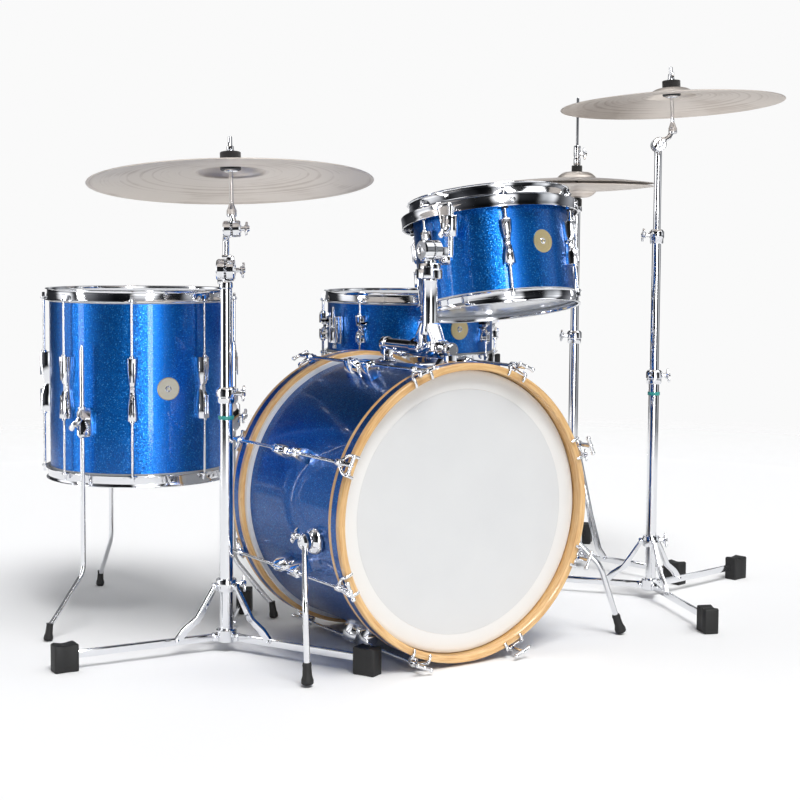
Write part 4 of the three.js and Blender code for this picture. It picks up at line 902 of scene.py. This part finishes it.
# ---------------------------------------------------------------- cymbals
# Cast bronze, hammered and lathed in fine grooves, thin and bowed, with a raised bell. Each is held between two
# felts on a steel stem, under a wing nut.

# Lathed bronze: the cutter leaves grooves a few tenths of a millimetre apart, in wider bands of darker and
# paler metal, and the surface is hazed by a clear lacquer.
bronze, tree, shader, spot = new_finish("lathed_bronze", "bronze")
reach = add_node(tree, "Attribute", attribute_name="reach").outputs["Fac"]
grooves = add_node(tree, "TexNoise", {"W": reach, "Scale": 2.2, "Detail": 3}, noise_dimensions="1D")
bands = add_node(tree, "TexNoise", {"W": reach, "Scale": 0.09, "Detail": 3}, noise_dimensions="1D")
cloud = add_node(tree, "TexNoise", {"Vector": spot, "Scale": 9, "Detail": 3})
mixed = add_node(tree, "Math", {0: bands.outputs[0], 1: cloud.outputs[0]}, operation="ADD")
tint = add_node(tree, "ValToRGB", {0: mixed.outputs[0]})
set_stops(tint, (0.75, "#c9bdb2"), (1, "#e2d9d0"))
bump = add_node(tree, "Bump", {"Height": grooves.outputs[0], "Strength": 0.25, "Distance": 0.0002})
feed(shader, {"Base Color": tint.outputs[0], "Normal": bump.outputs[0], "Metallic": 0.9, "Roughness": 0.4})

# Pressed felt: dense black wool with a short nap that catches a little light at its edge.
felt, tree, shader, spot = new_finish("pressed_felt", "felt")
nap = add_node(tree, "TexNoise", {"Vector": spot, "Scale": 1400, "Detail": 4})
bump = add_node(tree, "Bump", {"Height": nap.outputs[0], "Strength": 0.6, "Distance": 0.0006})
tint = add_node(tree, "ValToRGB", {0: nap.outputs[0]})
set_stops(tint, (0, "#101010"), (1, "#2a2a2b"))
feed(shader, {"Base Color": tint.outputs[0], "Normal": bump.outputs[0], "Roughness": 0.95,
    "Sheen Weight": 0.3})


def cymbal(name, place, radius, height, bell, rise, thick, body, node):
    bow = height - rise
    top = [(5, height), (19.5, height), (22, height - 0.3)]
    top += [(22 + (bell - 22) * i / 10, bow + (rise - 0.3) * math.cos(math.pi / 2 * i / 10) ** 0.8)
        for i in range(1, 10)]
    top += [(bell + (radius - bell) * i / 24, bow * (1 - (i / 24) ** 1.56)) for i in range(24)]
    top += [(radius - 0.5, 0.1), (radius, -thick / 2)]
    under = [(out, z - thick) for out, z in reversed(top[:-1])]
    plate_shape = turned(top + under, 200)
    ring = plate_shape.verts.layers.float.new("reach")
    for vert in plate_shape.verts:
        vert[ring] = math.hypot(vert.co.x, vert.co.y)
    finish_piece(name, plate_shape, place, bronze, body, [node], crease=55)


def stem_set(name, lean, foot, hinge, drop, height, thick):
    """The carrier, stem, felts and wing nut that hold a cymbal."""
    on_foot = [Matrix.Translation(foot)]
    start = about(hinge) @ Vector((9, 0, 0))
    seat = drop + height - thick - 0.3
    finish_piece(name + "_stem_rod", joined(
        tilter_half(hinge, 1),
        (wing_bolt(14, 15), [about(hinge) @ at(16)]),
        bar([start + Vector((0, 0, 4)), Vector((foot.x, foot.y, 20)).lerp(start, 0.3),
            Vector((foot.x, foot.y, 30))], 5, 4, 16),
        (turned([(0, 22), (7.4, 22), (9, 24), (9, 34), (7.6, 36), (5, 44), (4, 46), (0, 46)], 28), on_foot),
        (turned([(0, 26), (3.9, 26), (3.9, drop + height + 43), (3, drop + height + 44),
            (0, drop + height + 44)], 24), on_foot),
        (turned([(0, seat - 19), (9, seat - 19), (13, seat - 17.4), (13, seat - 15.2), (0, seat - 15.2)],
            36), on_foot)),
        lean, chrome, name + "_stem", [name + "_cymbal_stem"])
    base = drop + height + 0.3
    for side, low in (("lower", seat - 15), ("upper", base)):
        washer = turned([(4.1, low), (18, low), (19, low + 1), (19, low + 14), (18, low + 15),
            (4.1, low + 15)], 48)
        finish_piece(f"{name}_{side}_felt", joined((washer, on_foot)), lean, felt, name + "_stem")
    wing = plate([(5, -4), (12, -2.6), (19, 1), (20, 8), (16, 9.4), (11, 6.6), (5, 5)], -2.2, 2.2, 1.1)
    finish_piece(name + "_wing_nut_casting", joined(
        (turned([(4.1, base + 15.1), (9, base + 15.1), (9, base + 17), (6.6, base + 19), (6.6, base + 25),
            (5, base + 26.6), (4.1, base + 26.6)], 28), on_foot),
        (wing, [Matrix.Translation(foot + Vector((0, 0, base + 22))) @ about(turn) @ about(90, "X")
            for turn in (60, 240)])),
        lean, chrome, name + "_stem", [name + "_wing_nut"])


here = set_at()
stem_set("ride", here @ ride_lean, Vector((0, 0, 0)), -33, 84, 40, 1.6)
cymbal("ride_cymbal_plate", here @ ride_lean @ at(0, 0, 84), 258, 40, 64, 20, 1.6, "ride_plate",
    "ride_cymbal")
crash_foot = about(-33) @ Vector((31, 0, 0))
stem_set("crash", here @ crash_lean, crash_foot, 237, 82, 36, 1.4)
cymbal("crash_cymbal_plate", here @ crash_lean @ Matrix.Translation(crash_foot + Vector((0, 0, 82))), 234,
    36, 52, 17, 1.4, "crash_plate", "crash_cymbal")

# ---------------------------------------------------------------- hi-hats
# Two small cymbals face each other on one stand. A pull rod runs down through the tube to a footboard; the lower
# cymbal rests on a felt cup, and a clutch with a wing screw holds the upper one on the rod.
hat_place = set_at(*HAT_AT)
cymbal("hihat_lower_plate", hat_place @ at(0, 0, 892) @ FLIPPED, 178, 26, 46, 15, 1.4, "hat_tube",
    "hihat_bottom_cymbal")
cymbal("hihat_upper_plate", hat_place @ at(0, 0, 900), 178, 26, 46, 15, 1.4, "hat_clutch", "hihat_top_cymbal")
finish_piece("hihat_upper_tube", turned([(3.6, 445), (9.5, 445), (9.5, 832), (12, 834), (13, 836),
    (13, 845), (12, 846), (3.6, 846)], 40), hat_place, chrome, "hat_tube", ["hihat_stand_tube"])
finish_piece("hihat_cup_felt", turned([(3.6, 846.1), (11, 846.1), (12.6, 848), (12.6, 862), (10, 864),
    (9, 865.4), (3.6, 865.4)], 40), hat_place, felt, "hat_tube")
finish_piece("hihat_pull_rod_steel", turned([(0, 80.6), (3, 80.6), (3, 1095), (2, 1097), (0, 1097)], 20),
    hat_place, chrome, "hat_rod", ["hihat_pull_rod"])
finish_piece("hihat_clutch_body", joined(
    turned([(3.3, 916.4), (9, 916.4), (10, 917.4), (10, 923.4), (9, 924.2), (4.4, 924.2), (4.4, 941),
        (7, 941), (8, 942.4), (8, 956), (7, 958), (7, 961), (8, 963), (8, 984), (7, 986), (3.3, 986)], 32),
    (wing_bolt(13, 17), [at(0, 0, 968) @ about(-33) @ at(7)])),
    hat_place, chrome, "hat_clutch", ["hihat_clutch"])
finish_piece("hihat_clutch_felt", turned([(4.5, 926.4), (11.6, 926.4), (12.4, 927.4), (12.4, 939.4),
    (11.6, 940.4), (4.5, 940.4)], 40), hat_place, felt, "hat_clutch")

hat_turn = set_at(*HAT_AT, turn=103.6)
yoke = bmesh.new()
for side in (-1, 1):
    put(yoke, block(-9, 9, *sorted((side * 24, side * 30)), 14, 162, 1.6))
put(yoke, block(-12, 12, -30, 30, 143, 165, 3))
put(yoke, turned([(0, 10), (30, 10), (32, 12), (32, 21), (29, 24), (0, 24)], 48))
finish_piece("hihat_yoke", yoke, hat_turn, chrome, "kit")
slope = Matrix(((1, 0, 0, 0), (0, 1, 0, 0), (-52 / 282, 0, 1, 74), (0, 0, 0, 1)))
finish_piece("hihat_footboard_casting", joined(
    (plate([(0, -17), (56, -17), (72, -36), (110, -42), (264, -42), (270, -29), (282, -29), (282, 29),
        (270, 29), (264, 42), (110, 42), (72, 36), (56, 17), (0, 17)], 0, 4.6, 1.6), [slope]),
    (block(84, 256, -1.6, 1.6, 4.2, 5.9, 0.6), [slope @ at(0, y) for y in (-33, -22, -11, 0, 11, 22, 33)]),
    (turned([(0, -30), (5.8, -30), (5.8, 30), (0, 30)], 24), [at(284, 0, 22) @ about(90, "X")])),
    hat_turn, chrome, "hat_pedal", ["hihat_footboard"])
heel = plate([(277, -38), (340, -38), (354, -28), (356, 0), (354, 28), (340, 38), (277, 38)], 0.4, 12, 2)
for low in (-38, 31):
    put(heel, block(276.4, 293.6, low, low + 7, 0.6, 28, 2))
put(heel, bar([(32.6, 18.2, 5), (282, 26, 5)], 2.9, sides=12), [Matrix(), MIRRORED])
finish_piece("hihat_heel_casting", heel, hat_turn, chrome, "kit", ["hihat_heel_plate"])
